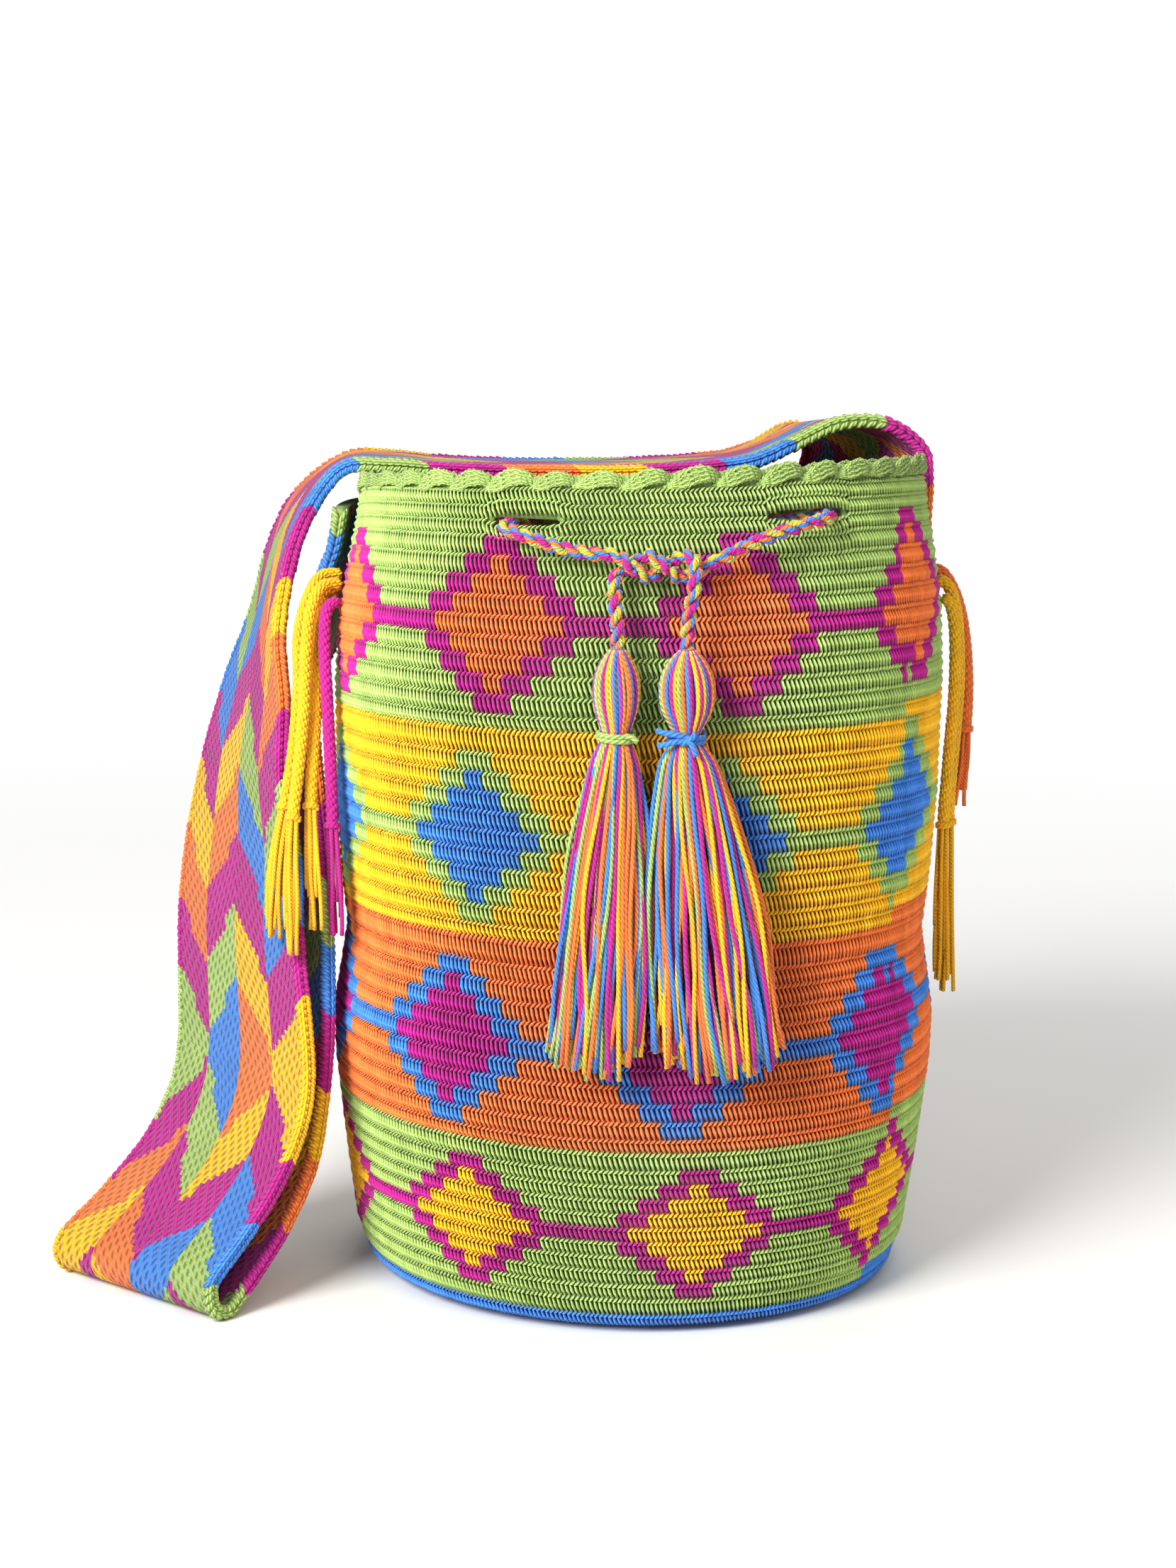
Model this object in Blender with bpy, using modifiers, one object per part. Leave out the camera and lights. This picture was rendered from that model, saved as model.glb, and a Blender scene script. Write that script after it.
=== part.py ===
"""A crocheted mochila bag: a round body with a drawstring, two tassels and a woven shoulder strap.

Metres, +Z up. The origin is the centre of the flat base, and -Y is the front of the bag.
An angle round the bag is 0 at the front and grows to the right, towards +X.
"""
import math

import bmesh
import bpy
import numpy as np
from mathutils import Vector

COLLECTION_NAME = "mochila_bag"
GAP = 0.0003

# Body: the outer radius at heights up the wall, the wall, and the rounds of crochet.
WALL_PROFILE = [
    (0.000, 0.0900), (0.004, 0.0972), (0.017, 0.1023), (0.047, 0.1065), (0.080, 0.1103),
    (0.098, 0.1108), (0.129, 0.1061), (0.151, 0.1084), (0.181, 0.1102), (0.224, 0.1108),
    (0.249, 0.1095), (0.267, 0.1068), (0.282, 0.1040), (0.3025, 0.1010),
]
WALL = 0.0045
ROUND_RIDGE = 0.0012
SEGMENTS = 40
PATTERN_REPEATS = 8
STITCHES_PER_REPEAT = 24

# Each band of colour from the top down: its rounds, the plain rounds above its row of diamonds,
# the diamonds' middle angle, and the ground, outline and fill colours. Then their lowest heights.
BANDS = [
    (13, 3, -27.0, "green", "magenta", "orange"),
    (11, 1, -32.0, "yellow", "green", "blue"),
    (11, 1, -36.0, "orange", "blue", "magenta"),
    (11, 1, -33.0, "green", "magenta", "yellow"),
    (2, 9, 0.0, "blue", "blue", "blue"),
]
BAND_LOWS = [0.2149, 0.1414, 0.0695, 0.0082, 0.0000]
OUTLINE_HALF_WIDTHS = [2, 4, 6, 8, 12, 8, 6, 4, 2]
FILL_HALF_WIDTHS = [0, 1, 3, 5, 7, 5, 3, 1, 0]

# Rim: the scalloped edging, and a mouth that stands higher at the front and the right.
EDGING_HEIGHT = 0.0060
LOBE_DEPTH = 0.0024
RIM_MEAN = 0.2964
RIM_FRONT_RISE = 0.0080
RIM_RIGHT_RISE = 0.0042
RIM_SADDLE = -0.0019

# The strap presses the mouth down where it leaves it: how far, at what angle and how wide.
RIM_PRESS = 0.0048
RIM_PRESS_ANGLE = -108.0
RIM_PRESS_SPREAD = 25.0

# Eyelets that the drawstring passes through: angle and half width in degrees.
EYELETS = [(-23.0, 7.0), (32.5, 8.5), (161.0, 7.0), (-150.0, 7.0)]
EYELET_HEIGHT = 0.0078
EYELET_DROP = 0.0185

# Strap: a flat band. Each station is the middle of the band (x, y, z), the turn of its width
# direction from +Y towards -X and its droop in degrees, and how far it follows the wall's curve.
STRAP_WIDTH = 0.085
STRAP_THICKNESS = 0.0055
STRAP_STATIONS = [
    (0.0945, 0.0662, 0.2300, 35, 0, 1.0), (0.0940, 0.0658, 0.2430, 35, 0, 1.0),
    (0.0926, 0.0648, 0.2580, 35, 0, 1.0), (0.0907, 0.0637, 0.2730, 34, 0, 1.0),
    (0.0905, 0.0660, 0.2880, 32, 2, 0.7), (0.0885, 0.0685, 0.3000, 28, 4, 0.3),
    (0.0790, 0.0695, 0.3080, 20, 5, 0.0), (0.0660, 0.0690, 0.3085, 12, 5, 0.0),
    (0.0510, 0.0680, 0.3010, 8, 4, 0.0), (0.0336, 0.0655, 0.2952, 6, 2, 0.0),
    (-0.0040, 0.0575, 0.2925, 5, 1.5, 0.0), (-0.0430, 0.0500, 0.2922, 4, 1.5, 0.0),
    (-0.0750, 0.0450, 0.2932, 3, 1.5, 0.0), (-0.0950, 0.0430, 0.2948, 3, 1, 0.0),
    (-0.1120, 0.0415, 0.2935, 4, 1, 0.0), (-0.1268, 0.0375, 0.2790, 8, 0, 0.0),
    (-0.1350, 0.0330, 0.2600, 10, 0, 0.0), (-0.1398, 0.0262, 0.2350, 12, 0, 0.0),
    (-0.1430, 0.0180, 0.2100, 20, 0, 0.0), (-0.1466, 0.0100, 0.1820, 26, 0, 0.0),
    (-0.1458, -0.0030, 0.1550, 34, 0, 0.0), (-0.1459, -0.0145, 0.1275, 37, 0, 0.0),
    (-0.1438, -0.0235, 0.1030, 39, 0, 0.0), (-0.1422, -0.0325, 0.0815, 40, 0, 0.0),
    (-0.1447, -0.0400, 0.0640, 40, 0, 0.0), (-0.1534, -0.0480, 0.0450, 41, 0, 0.0),
    (-0.1660, -0.0558, 0.0280, 44, 0, 0.0), (-0.1727, -0.0612, 0.0206, 46, 0, 0.0),
    (-0.1755, -0.0635, 0.0174, 47, 0, 0.0), (-0.1772, -0.0650, 0.0153, 48, 0, 0.0),
    (-0.1783, -0.0663, 0.0130, 49, 0, 0.0), (-0.1787, -0.0668, 0.0101, 50, 0, 0.0),
    (-0.1783, -0.0663, 0.0071, 50, 0, 0.0), (-0.1771, -0.0648, 0.0047, 50, 0, 0.0),
    (-0.1754, -0.0628, 0.0033, 50, 0, 0.0), (-0.1734, -0.0605, 0.0032, 50, 0, 0.0),
    (-0.1719, -0.0587, 0.0040, 50, 0, 0.0), (-0.1710, -0.0575, 0.0052, 50, 0, 0.0),
    (-0.1694, -0.0560, 0.0073, 50, 0, 0.0), (-0.1667, -0.0536, 0.0110, 50, 0, 0.0),
    (-0.1620, -0.0496, 0.0175, 50, 0, 0.0), (-0.1545, -0.0425, 0.0290, 49, 0, 0.0),
    (-0.1448, -0.0330, 0.0483, 46, 0, 0.0), (-0.1392, -0.0240, 0.0702, 42, 0, 0.0),
    (-0.1345, -0.0120, 0.0976, 36, 0, 0.0), (-0.1320, 0.0000, 0.1251, 30, 0, 0.0),
    (-0.1290, 0.0135, 0.1526, 22, 0, 0.0),
    (-0.1245, 0.0285, 0.1943, 8, 0, 0.0), (-0.1216, 0.0348, 0.2167, 0, 0, 0.0),
    (-0.1186, 0.0385, 0.2363, -8, 0, -0.3), (-0.1135, 0.0390, 0.2520, -14, 0, -0.8),
    (-0.1061, 0.0366, 0.2670, -19, 0, -1.0), (-0.1036, 0.0357, 0.2810, -19, 0, -1.0),
]
STRAP_WALL_RADIUS = 0.111
# Sections of the loft: the longest step between two, and the sharpest turn in degrees.
STRAP_STEP = 0.020
STRAP_TURN = 14.0

# The band's chevrons, in four columns from the near edge to the far one. They turn back at a
# distance along the band. Colours are in the order they come away from there.
STRIPE_MIRROR = 0.516
STRIPE_LENGTH = 0.0268
STRIPE_RISE = 0.026
STRIPE_ORDER = ["green", "magenta", "orange", "yellow", "magenta", "blue"]
STRIPE_PHASES = [9.82, 8.82, 5.82, 6.82]

# Drawstring: its route from the left tassel, through the knot and round the bag, to the right one.
CORD_DIAMETER = 0.0054
DRAWSTRING_ROUTE = [
    (-0.0090, -0.1203, 0.2447), (-0.0090, -0.1202, 0.2500), (-0.0098, -0.1176, 0.2595),
    (-0.0098, -0.1146, 0.2674), (-0.0043, -0.1109, 0.2710), (0.0012, -0.1145, 0.2746),
    (0.0067, -0.1181, 0.2710), (0.0122, -0.1145, 0.2674), (0.0206, -0.1128, 0.2715),
    (0.0355, -0.1082, 0.2785), (0.0485, -0.1012, 0.2830), (0.0588, -0.0945, 0.2855),
    (0.0625, -0.0885, 0.2862), (0.0592, -0.0820, 0.2862), (0.0585, -0.0730, 0.2860),
    (0.0740, -0.0575, 0.2852), (0.0925, -0.0230, 0.2840), (0.0950, 0.0090, 0.2810),
    (0.0880, 0.0370, 0.2775), (0.0710, 0.0605, 0.2745), (0.0485, 0.0775, 0.2715),
    (0.0350, 0.0890, 0.2702), (0.0345, 0.0985, 0.2700), (0.0270, 0.1080, 0.2690),
    (0.0000, 0.1125, 0.2680), (-0.0310, 0.1080, 0.2678), (-0.0480, 0.0985, 0.2674),
    (-0.0510, 0.0895, 0.2674), (-0.0560, 0.0770, 0.2680), (-0.0760, 0.0560, 0.2700),
    (-0.0895, 0.0270, 0.2720), (-0.0945, 0.0000, 0.2745), (-0.0880, -0.0350, 0.2785),
    (-0.0700, -0.0630, 0.2810), (-0.0510, -0.0780, 0.2822), (-0.0450, -0.0880, 0.2823),
    (-0.0475, -0.0965, 0.2822), (-0.0420, -0.1022, 0.2802), (-0.0304, -0.1075, 0.2768),
    (-0.0190, -0.1118, 0.2750), (-0.0098, -0.1145, 0.2746), (-0.0043, -0.1181, 0.2710),
    (0.0012, -0.1145, 0.2674), (0.0067, -0.1109, 0.2710), (0.0122, -0.1145, 0.2748),
    (0.0160, -0.1195, 0.2738), (0.0160, -0.1232, 0.2665), (0.0148, -0.1228, 0.2585),
    (0.0140, -0.1212, 0.2500), (0.0140, -0.1210, 0.2447),
]

# Tassels: name, the x of the neck and of the skirt's hem, half widths of the head and the hem,
# and the colours of the yarn and the binding.
TASSEL_Y = -0.1212
TASSEL_TOP = 0.2443
TASSEL_NECK = 0.2182
TASSEL_HEM = 0.0965
TASSEL_DEPTH = 0.0076
TASSEL_FLUTES = 10
TASSELS = [
    ("left", -0.0090, -0.0140, 0.0080, 0.0165, "orange", "green"),
    ("right", 0.0143, 0.0270, 0.0095, 0.0220, "magenta", "blue"),
]
NECK_RADIUS = 0.0056
BINDING_THICKNESS = 0.0016
BINDING_HEIGHT = 0.0050

# Cords at the strap's ends: name, colour, length of the frayed tail, and the route from the wall.
END_CORD_DIAMETER = 0.0048
TAIL_DIAMETER = 0.0064
END_CORDS = [
    ("left_strap_cord_1", "yellow", 0.048, [
        (-0.1096, -0.0076, 0.2565), (-0.1160, -0.0110, 0.2560), (-0.1205, -0.0185, 0.2480),
        (-0.1230, -0.0250, 0.2350), (-0.1225, -0.0300, 0.2190), (-0.1235, -0.0380, 0.1980),
        (-0.1262, -0.0445, 0.1770), (-0.1290, -0.0485, 0.1580), (-0.1302, -0.0492, 0.1300)]),
    ("left_strap_cord_2", "yellow", 0.045, [
        (-0.1109, -0.0077, 0.2506), (-0.1150, -0.0118, 0.2492), (-0.1163, -0.0185, 0.2400),
        (-0.1162, -0.0245, 0.2290), (-0.1160, -0.0310, 0.2140), (-0.1165, -0.0390, 0.1960),
        (-0.1168, -0.0455, 0.1780), (-0.1160, -0.0488, 0.1580), (-0.1150, -0.0490, 0.1330)]),
    ("left_strap_cord_3", "yellow", 0.050, [
        (-0.1092, -0.0143, 0.2535), (-0.1150, -0.0190, 0.2530), (-0.1188, -0.0265, 0.2440),
        (-0.1198, -0.0330, 0.2280), (-0.1200, -0.0400, 0.2090), (-0.1212, -0.0470, 0.1900),
        (-0.1225, -0.0520, 0.1750), (-0.1230, -0.0545, 0.1560), (-0.1228, -0.0550, 0.1250)]),
    ("left_strap_cord_4", "magenta", 0.040, [
        (-0.1093, -0.0204, 0.2480), (-0.1130, -0.0245, 0.2450), (-0.1134, -0.0290, 0.2330),
        (-0.1120, -0.0340, 0.2140), (-0.1105, -0.0385, 0.1930), (-0.1094, -0.0425, 0.1720),
        (-0.1086, -0.0440, 0.1500), (-0.1080, -0.0440, 0.1300)]),
    ("right_strap_cord_1", "orange", 0.030, [
        (0.1083, 0.0186, 0.2588), (0.1135, 0.0196, 0.2575), (0.1190, 0.0205, 0.2480),
        (0.1222, 0.0205, 0.2350), (0.1238, 0.0200, 0.2200), (0.1240, 0.0190, 0.2060),
        (0.1230, 0.0180, 0.1900), (0.1215, 0.0175, 0.1700)]),
    ("right_strap_cord_2", "yellow", 0.065, [
        (0.1106, 0.0111, 0.2560), (0.1150, 0.0120, 0.2530), (0.1180, 0.0125, 0.2440),
        (0.1195, 0.0125, 0.2300), (0.1198, 0.0120, 0.2150), (0.1190, 0.0115, 0.1980),
        (0.1180, 0.0110, 0.1820), (0.1175, 0.0105, 0.1650), (0.1185, 0.0100, 0.1000)]),
    ("right_strap_cord_3", "yellow", 0.060, [
        (0.1121, 0.0035, 0.2500), (0.1150, 0.0040, 0.2470), (0.1168, 0.0045, 0.2380),
        (0.1174, 0.0045, 0.2250), (0.1172, 0.0040, 0.2100), (0.1162, 0.0035, 0.1950),
        (0.1154, 0.0030, 0.1800), (0.1148, 0.0028, 0.1650), (0.1152, 0.0025, 0.1060)]),
]
# Points of a cord: the longest step between two in diameters, and the sharpest turn in degrees.
CORD_SPACING = 2.2
CORD_TURN = 28.0

YARN_COLORS = {
    "green": (0.37, 0.51, 0.10), "magenta": (0.43, 0.016, 0.26), "orange": (0.89, 0.19, 0.038),
    "yellow": (0.93, 0.46, 0.018), "blue": (0.05, 0.21, 0.67),
}
YARN_ROUGHNESS = 0.85


def clear_scene():
    for obj in list(bpy.data.objects):
        bpy.data.objects.remove(obj, do_unlink=True)


def yarn_material(color):
    """One matte yarn material for each colour, shared by every piece that uses it."""
    name = "yarn_" + color
    material = bpy.data.materials.get(name)
    if material is None:
        material = bpy.data.materials.new(name)
        material.use_nodes = True
        shader = material.node_tree.nodes["Principled BSDF"]
        shader.inputs["Base Color"].default_value = (*YARN_COLORS[color], 1.0)
        shader.inputs["Roughness"].default_value = YARN_ROUGHNESS
        shader.inputs["Metallic"].default_value = 0.0
    return material


def add_piece(mesh, name, colors, collection):
    piece = bpy.data.objects.new(name, mesh)
    for color in colors:
        mesh.materials.append(yarn_material(color))
    collection.objects.link(piece)
    return piece


def evaluated_mesh(obj):
    graph = bpy.context.evaluated_depsgraph_get()
    return bpy.data.meshes.new_from_object(obj.evaluated_get(graph))


def weld(mesh, distance=0.00001):
    soft = bmesh.new()
    soft.from_mesh(mesh)
    bmesh.ops.remove_doubles(soft, verts=soft.verts, dist=distance)
    soft.to_mesh(mesh)
    soft.free()


def around(angle, radius, height):
    """A point round the bag: angle in degrees from the front, growing to the right."""
    turn = math.radians(angle)
    return Vector((radius * math.sin(turn), -radius * math.cos(turn), height))


def angle_of(point):
    return math.atan2(point[0], -point[1])


def wall_radius(height):
    heights, radii = zip(*WALL_PROFILE)
    return float(np.interp(height, heights, radii))


def rim_height(turn):
    """Height of the mouth at an angle in radians."""
    away = (math.degrees(turn) - RIM_PRESS_ANGLE + 180) % 360 - 180
    return (RIM_MEAN + RIM_FRONT_RISE * math.cos(turn) + RIM_RIGHT_RISE * math.sin(turn)
            + RIM_SADDLE * math.cos(2 * turn)
            - RIM_PRESS * math.exp(-(away / RIM_PRESS_SPREAD) ** 2))


def tilt_mouth(point):
    """Moves a point of the upright body to where the tilted mouth puts it."""
    top = WALL_PROFILE[-1][0]
    share = (max(point[2], 0.0) / top) ** 2
    return point[2] + share * (rim_height(angle_of(point)) - top)


def round_heights():
    """Height of each boundary between rounds, from the edging down to the base."""
    top = WALL_PROFILE[-1][0] - EDGING_HEIGHT
    heights = [top]
    for low, (rounds, *_) in zip(BAND_LOWS, BANDS):
        heights += [top + (low - top) * (i + 1) / rounds for i in range(rounds)]
        top = low
    return heights


def pattern_color(row, turn):
    """Colour slot of a stitch: its round, counted from the top, and its angle in radians."""
    for rounds, plain, middle, ground, outline, fill in BANDS:
        if row < rounds:
            break
        row -= rounds
    line = row - plain
    if not 0 <= line < len(OUTLINE_HALF_WIDTHS):
        return ground
    stitches = PATTERN_REPEATS * STITCHES_PER_REPEAT
    place = (math.degrees(turn) - middle) / 360.0 * stitches
    across = abs((place + STITCHES_PER_REPEAT / 2) % STITCHES_PER_REPEAT - STITCHES_PER_REPEAT / 2)
    if across < FILL_HALF_WIDTHS[line]:
        return fill
    return outline if across <= OUTLINE_HALF_WIDTHS[line] else ground


def body_profile():
    """Half section of the body: up the inside from the floor's middle, then down the outside."""
    top = WALL_PROFILE[-1][0]
    floor_edge = wall_radius(2 * WALL) - WALL
    inside = [(0.0, WALL), (floor_edge - 2 * WALL, WALL), (floor_edge, 3 * WALL)]
    inside += [(wall_radius(h) - WALL, h) for h, _ in WALL_PROFILE[4:-1:2]]
    rim = WALL_PROFILE[-1][1]
    lip = [(rim - WALL, top - EDGING_HEIGHT), (rim - 0.7 * WALL, top), (rim + ROUND_RIDGE, top)]
    heights = round_heights()
    outside = [(wall_radius(heights[0]), heights[0])]
    for upper, lower in zip(heights, heights[1:]):
        crest = 0.55 * upper + 0.45 * lower
        outside.append((wall_radius(crest) + ROUND_RIDGE, crest))
        outside.append((wall_radius(lower), lower))
    return inside + lip + outside + [(0.0, 0.0)]


def turned_body_mesh(name):
    """The body of revolution that the profile gives, as a welded mesh."""
    profile = body_profile()
    mesh = bpy.data.meshes.new(name + "_profile")
    edges = [(i, i + 1) for i in range(len(profile) - 1)]
    mesh.from_pydata([(radius, 0.0, height) for radius, height in profile], edges, [])
    guide = bpy.data.objects.new(name + "_profile", mesh)
    bpy.context.scene.collection.objects.link(guide)
    screw = guide.modifiers.new("turn", "SCREW")
    screw.steps = screw.render_steps = SEGMENTS
    screw.use_merge_vertices = True
    screw.merge_threshold = 0.00001
    bpy.context.view_layer.update()
    body = evaluated_mesh(guide)
    bpy.data.objects.remove(guide, do_unlink=True)
    weld(body)
    return body


def split_rim(soft):
    """Splits the rim's ring edges once, so that the edging can be scalloped."""
    top = WALL_PROFILE[-1][0]
    rings = [e for e in soft.edges
             if all(abs(v.co.z - top) < 0.0001 for v in e.verts)
             and abs(e.verts[0].co.xy.length - e.verts[1].co.xy.length) < 0.0001]
    bmesh.ops.subdivide_edges(soft, edges=rings, cuts=1)
    lip = [v for v in soft.verts if abs(v.co.z - top) < 0.0001]
    for vert in lip:
        step = round(angle_of(vert.co) / math.pi * SEGMENTS)
        if step % 2:
            vert.co.z -= LOBE_DEPTH


def color_rounds(soft):
    """Gives each face of the outer wall the colour of its stitches."""
    heights = round_heights()
    slots = {color: index for index, color in enumerate(YARN_COLORS)}
    for face in soft.faces:
        middle = face.calc_center_median()
        outward = middle.x * face.normal.x + middle.y * face.normal.y
        row = sum(middle.z < low for low in heights[1:-1])
        if outward > 0 and middle.z < heights[0]:
            face.material_index = slots[pattern_color(row, angle_of(middle))]
        elif middle.z < BANDS[-2][0]:
            face.material_index = slots["blue"]
        else:
            face.material_index = slots[BANDS[0][4]]


def make_eyelet_cutters(cutters):
    """Rounded slots through the wall, on their sides and turned to face outwards."""
    made = []
    for number, (angle, half_width) in enumerate(EYELETS, 1):
        rim = rim_height(math.radians(angle))
        spot = around(angle, WALL_PROFILE[-2][1] - WALL / 2, rim - EYELET_DROP)
        length = 2 * math.radians(half_width) * WALL_PROFILE[-2][1]
        bpy.ops.mesh.primitive_cylinder_add(
            vertices=12, radius=EYELET_HEIGHT / 2, depth=6 * WALL, location=spot,
            rotation=(math.pi / 2, 0.0, math.radians(angle)))
        cutter = bpy.context.object
        cutter.name = "eyelet_cutter_%d" % number
        for vert in cutter.data.vertices:
            stretch = length / 2 - EYELET_HEIGHT / 2
            vert.co.x += stretch if vert.co.x > 0.00001 else -stretch
        cutter.display_type = "WIRE"
        cutter.hide_render = True
        for owner in list(cutter.users_collection):
            owner.objects.unlink(cutter)
        cutters.objects.link(cutter)
        made.append(cutter)
    return made


def make_body(collection, cutters):
    mesh = turned_body_mesh("bag_body")
    soft = bmesh.new()
    soft.from_mesh(mesh)
    split_rim(soft)
    soft.normal_update()
    color_rounds(soft)
    for vert in soft.verts:
        vert.co.z = tilt_mouth(vert.co)
    soft.to_mesh(mesh)
    soft.free()
    mesh.materials.clear()
    body = add_piece(mesh, "bag_body", YARN_COLORS, collection)
    for cutter in make_eyelet_cutters(cutters):
        cut = body.modifiers.new(cutter.name, "BOOLEAN")
        cut.operation = "DIFFERENCE"
        cut.object = cutter
    return body


def smooth_through(rows, steps):
    """Rows of numbers read from a smooth curve through the given rows, ends included."""
    rows = np.array(rows, float)
    padded = np.vstack([2 * rows[0] - rows[1], rows, 2 * rows[-1] - rows[-2]])
    out = []
    for i in range(1, len(padded) - 2):
        p0, p1, p2, p3 = padded[i - 1:i + 3]
        for k in range(steps):
            t = k / steps
            out.append(0.5 * (2 * p1 + (p2 - p0) * t + (2 * p0 - 5 * p1 + 4 * p2 - p3) * t ** 2
                              + (3 * p1 - p0 - 3 * p2 + p3) * t ** 3))
    return np.array(out + [rows[-1]])


def thinned(rows, longest, sharpest):
    """Keeps the rows of a curve that lie a set length or a set turn, in degrees, apart."""
    kept = [rows[0]]
    ahead = None
    for last, row in zip(rows, rows[1:-1]):
        heading = Vector(row[:3] - last[:3]).normalized()
        ahead = ahead or heading
        far = np.linalg.norm(row[:3] - kept[-1][:3])
        if far >= longest or heading.angle(ahead) >= math.radians(sharpest):
            kept.append(row)
            ahead = heading
    if np.linalg.norm(rows[-1][:3] - kept[-1][:3]) < longest / 3:
        kept.pop()
    return np.array(kept + [rows[-1]])


def band_section(half_width, half_thickness):
    """Outline of the band's section as (across, through), anticlockwise, with rounded edges."""
    nose = half_width - half_thickness
    across = [-nose, -nose / 2, 0.0, nose / 2, nose]
    lower = [(s, -half_thickness) for s in across]
    upper = [(s, half_thickness) for s in reversed(across)]
    return lower + [(half_width, 0.0)] + upper + [(-half_width, 0.0)]


def stripe_color(along, across):
    """Colour of the band at a distance along it and across it from its middle line."""
    column = STRAP_WIDTH / len(STRIPE_PHASES)
    number = int(across / column + len(STRIPE_PHASES) / 2)
    rise = STRIPE_RISE * abs(abs(across) / column - 1)
    count = (abs(along - STRIPE_MIRROR) - rise) / STRIPE_LENGTH
    return STRIPE_ORDER[int(count + STRIPE_PHASES[number]) % len(STRIPE_ORDER)]


def make_strap(collection):
    """Lofts the band's section along its stations. It folds on the floor and curls at its ends."""
    rows = thinned(smooth_through(STRAP_STATIONS, 8), STRAP_STEP, STRAP_TURN)
    section = band_section(STRAP_WIDTH / 2, STRAP_THICKNESS / 2)
    soft = bmesh.new()
    loops = []
    steps = [Vector(b[:3] - a[:3]).normalized() for a, b in zip(rows, rows[1:])]
    steps = [steps[0]] + steps + [steps[-1]]
    for (x, y, z, turn, droop, curl), before, after in zip(rows, steps, steps[1:]):
        ahead = before + after
        turn, droop = math.radians(turn), math.radians(droop)
        width = Vector((-math.sin(turn) * math.cos(droop), math.cos(turn) * math.cos(droop),
                        -math.sin(droop)))
        ahead = (ahead - width * ahead.dot(width)).normalized()
        face = ahead.cross(width)
        bend = curl / STRAP_WALL_RADIUS
        loop = []
        for across, through in section:
            along = math.sin(bend * across) / bend if abs(bend) > 0.01 else across
            rise = (1 - math.cos(bend * across)) / bend if abs(bend) > 0.01 else 0.0
            loop.append(soft.verts.new(Vector((x, y, z)) + width * along + face * (rise + through)))
        loops.append(loop)
    colors = list(YARN_COLORS)
    lengths = [0.0]
    for first, second in zip(rows, rows[1:]):
        lengths.append(lengths[-1] + float(np.linalg.norm(second[:3] - first[:3])))
    for i, (first, second) in enumerate(zip(loops, loops[1:])):
        for k in range(len(section)):
            j = (k + 1) % len(section)
            face = soft.faces.new((first[k], first[j], second[j], second[k]))
            along = (lengths[i] + lengths[i + 1]) / 2
            across = (section[k][0] + section[j][0]) / 2
            face.material_index = colors.index(stripe_color(along, across))
    soft.faces.new(loops[0])
    soft.faces.new(reversed(loops[-1]))
    bmesh.ops.recalc_face_normals(soft, faces=soft.faces)
    mesh = bpy.data.meshes.new("shoulder_strap")
    soft.to_mesh(mesh)
    soft.free()
    return add_piece(mesh, "shoulder_strap", colors, collection)


def make_tube(name, route, diameter, color, collection, tail=0.0):
    """A cord along its route. The last stretch, as long as the tail, is wider."""
    fine = smooth_through(route, 8)
    points = thinned(fine, CORD_SPACING * diameter, CORD_TURN)
    curve = bpy.data.curves.new(name, "CURVE")
    curve.dimensions = "3D"
    curve.bevel_depth = diameter / 2
    curve.bevel_resolution = 2
    curve.use_fill_caps = True
    spline = curve.splines.new("POLY")
    spline.points.add(len(points) - 1)
    for knot, point in zip(spline.points, points):
        knot.co = (*point, 1.0)
        if np.linalg.norm(point - points[-1]) < tail:
            knot.radius = TAIL_DIAMETER / diameter
    curve.materials.append(yarn_material(color))
    cord = bpy.data.objects.new(name, curve)
    collection.objects.link(cord)
    return cord


def make_drawstring(collection):
    return make_tube("drawstring", DRAWSTRING_ROUTE, CORD_DIAMETER, "magenta", collection)


def make_end_cords(collection):
    for name, color, tail, route in END_CORDS:
        make_tube(name, route, END_CORD_DIAMETER, color, collection, tail)


def tassel_rings(neck_x, hem_x, head_half, hem_half):
    """Rings down a tassel: height, middle x, half width, half depth and depth of the flutes."""
    head = TASSEL_TOP - TASSEL_NECK
    skirt = TASSEL_NECK - TASSEL_HEM
    rings = [
        (TASSEL_TOP, neck_x, 0.0028, 0.0028, 0.0),
        (TASSEL_TOP - 0.15 * head, neck_x, 0.70 * head_half, 0.70 * TASSEL_DEPTH, 0.04),
        (TASSEL_TOP - 0.45 * head, neck_x, head_half, TASSEL_DEPTH, 0.06),
        (TASSEL_TOP - 0.75 * head, neck_x, 0.85 * head_half, 0.9 * TASSEL_DEPTH, 0.04),
        (TASSEL_NECK, neck_x, NECK_RADIUS, NECK_RADIUS, 0.0),
        (TASSEL_NECK - BINDING_HEIGHT, neck_x, NECK_RADIUS, NECK_RADIUS, 0.0),
    ]
    for share in (0.12, 0.3, 0.55, 0.8, 1.0):
        half = NECK_RADIUS + (hem_half - NECK_RADIUS) * share ** 0.75
        middle = neck_x + (hem_x - neck_x) * share
        rings.append((TASSEL_NECK - skirt * share, middle, half, TASSEL_DEPTH, 0.10))
    return rings


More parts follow.
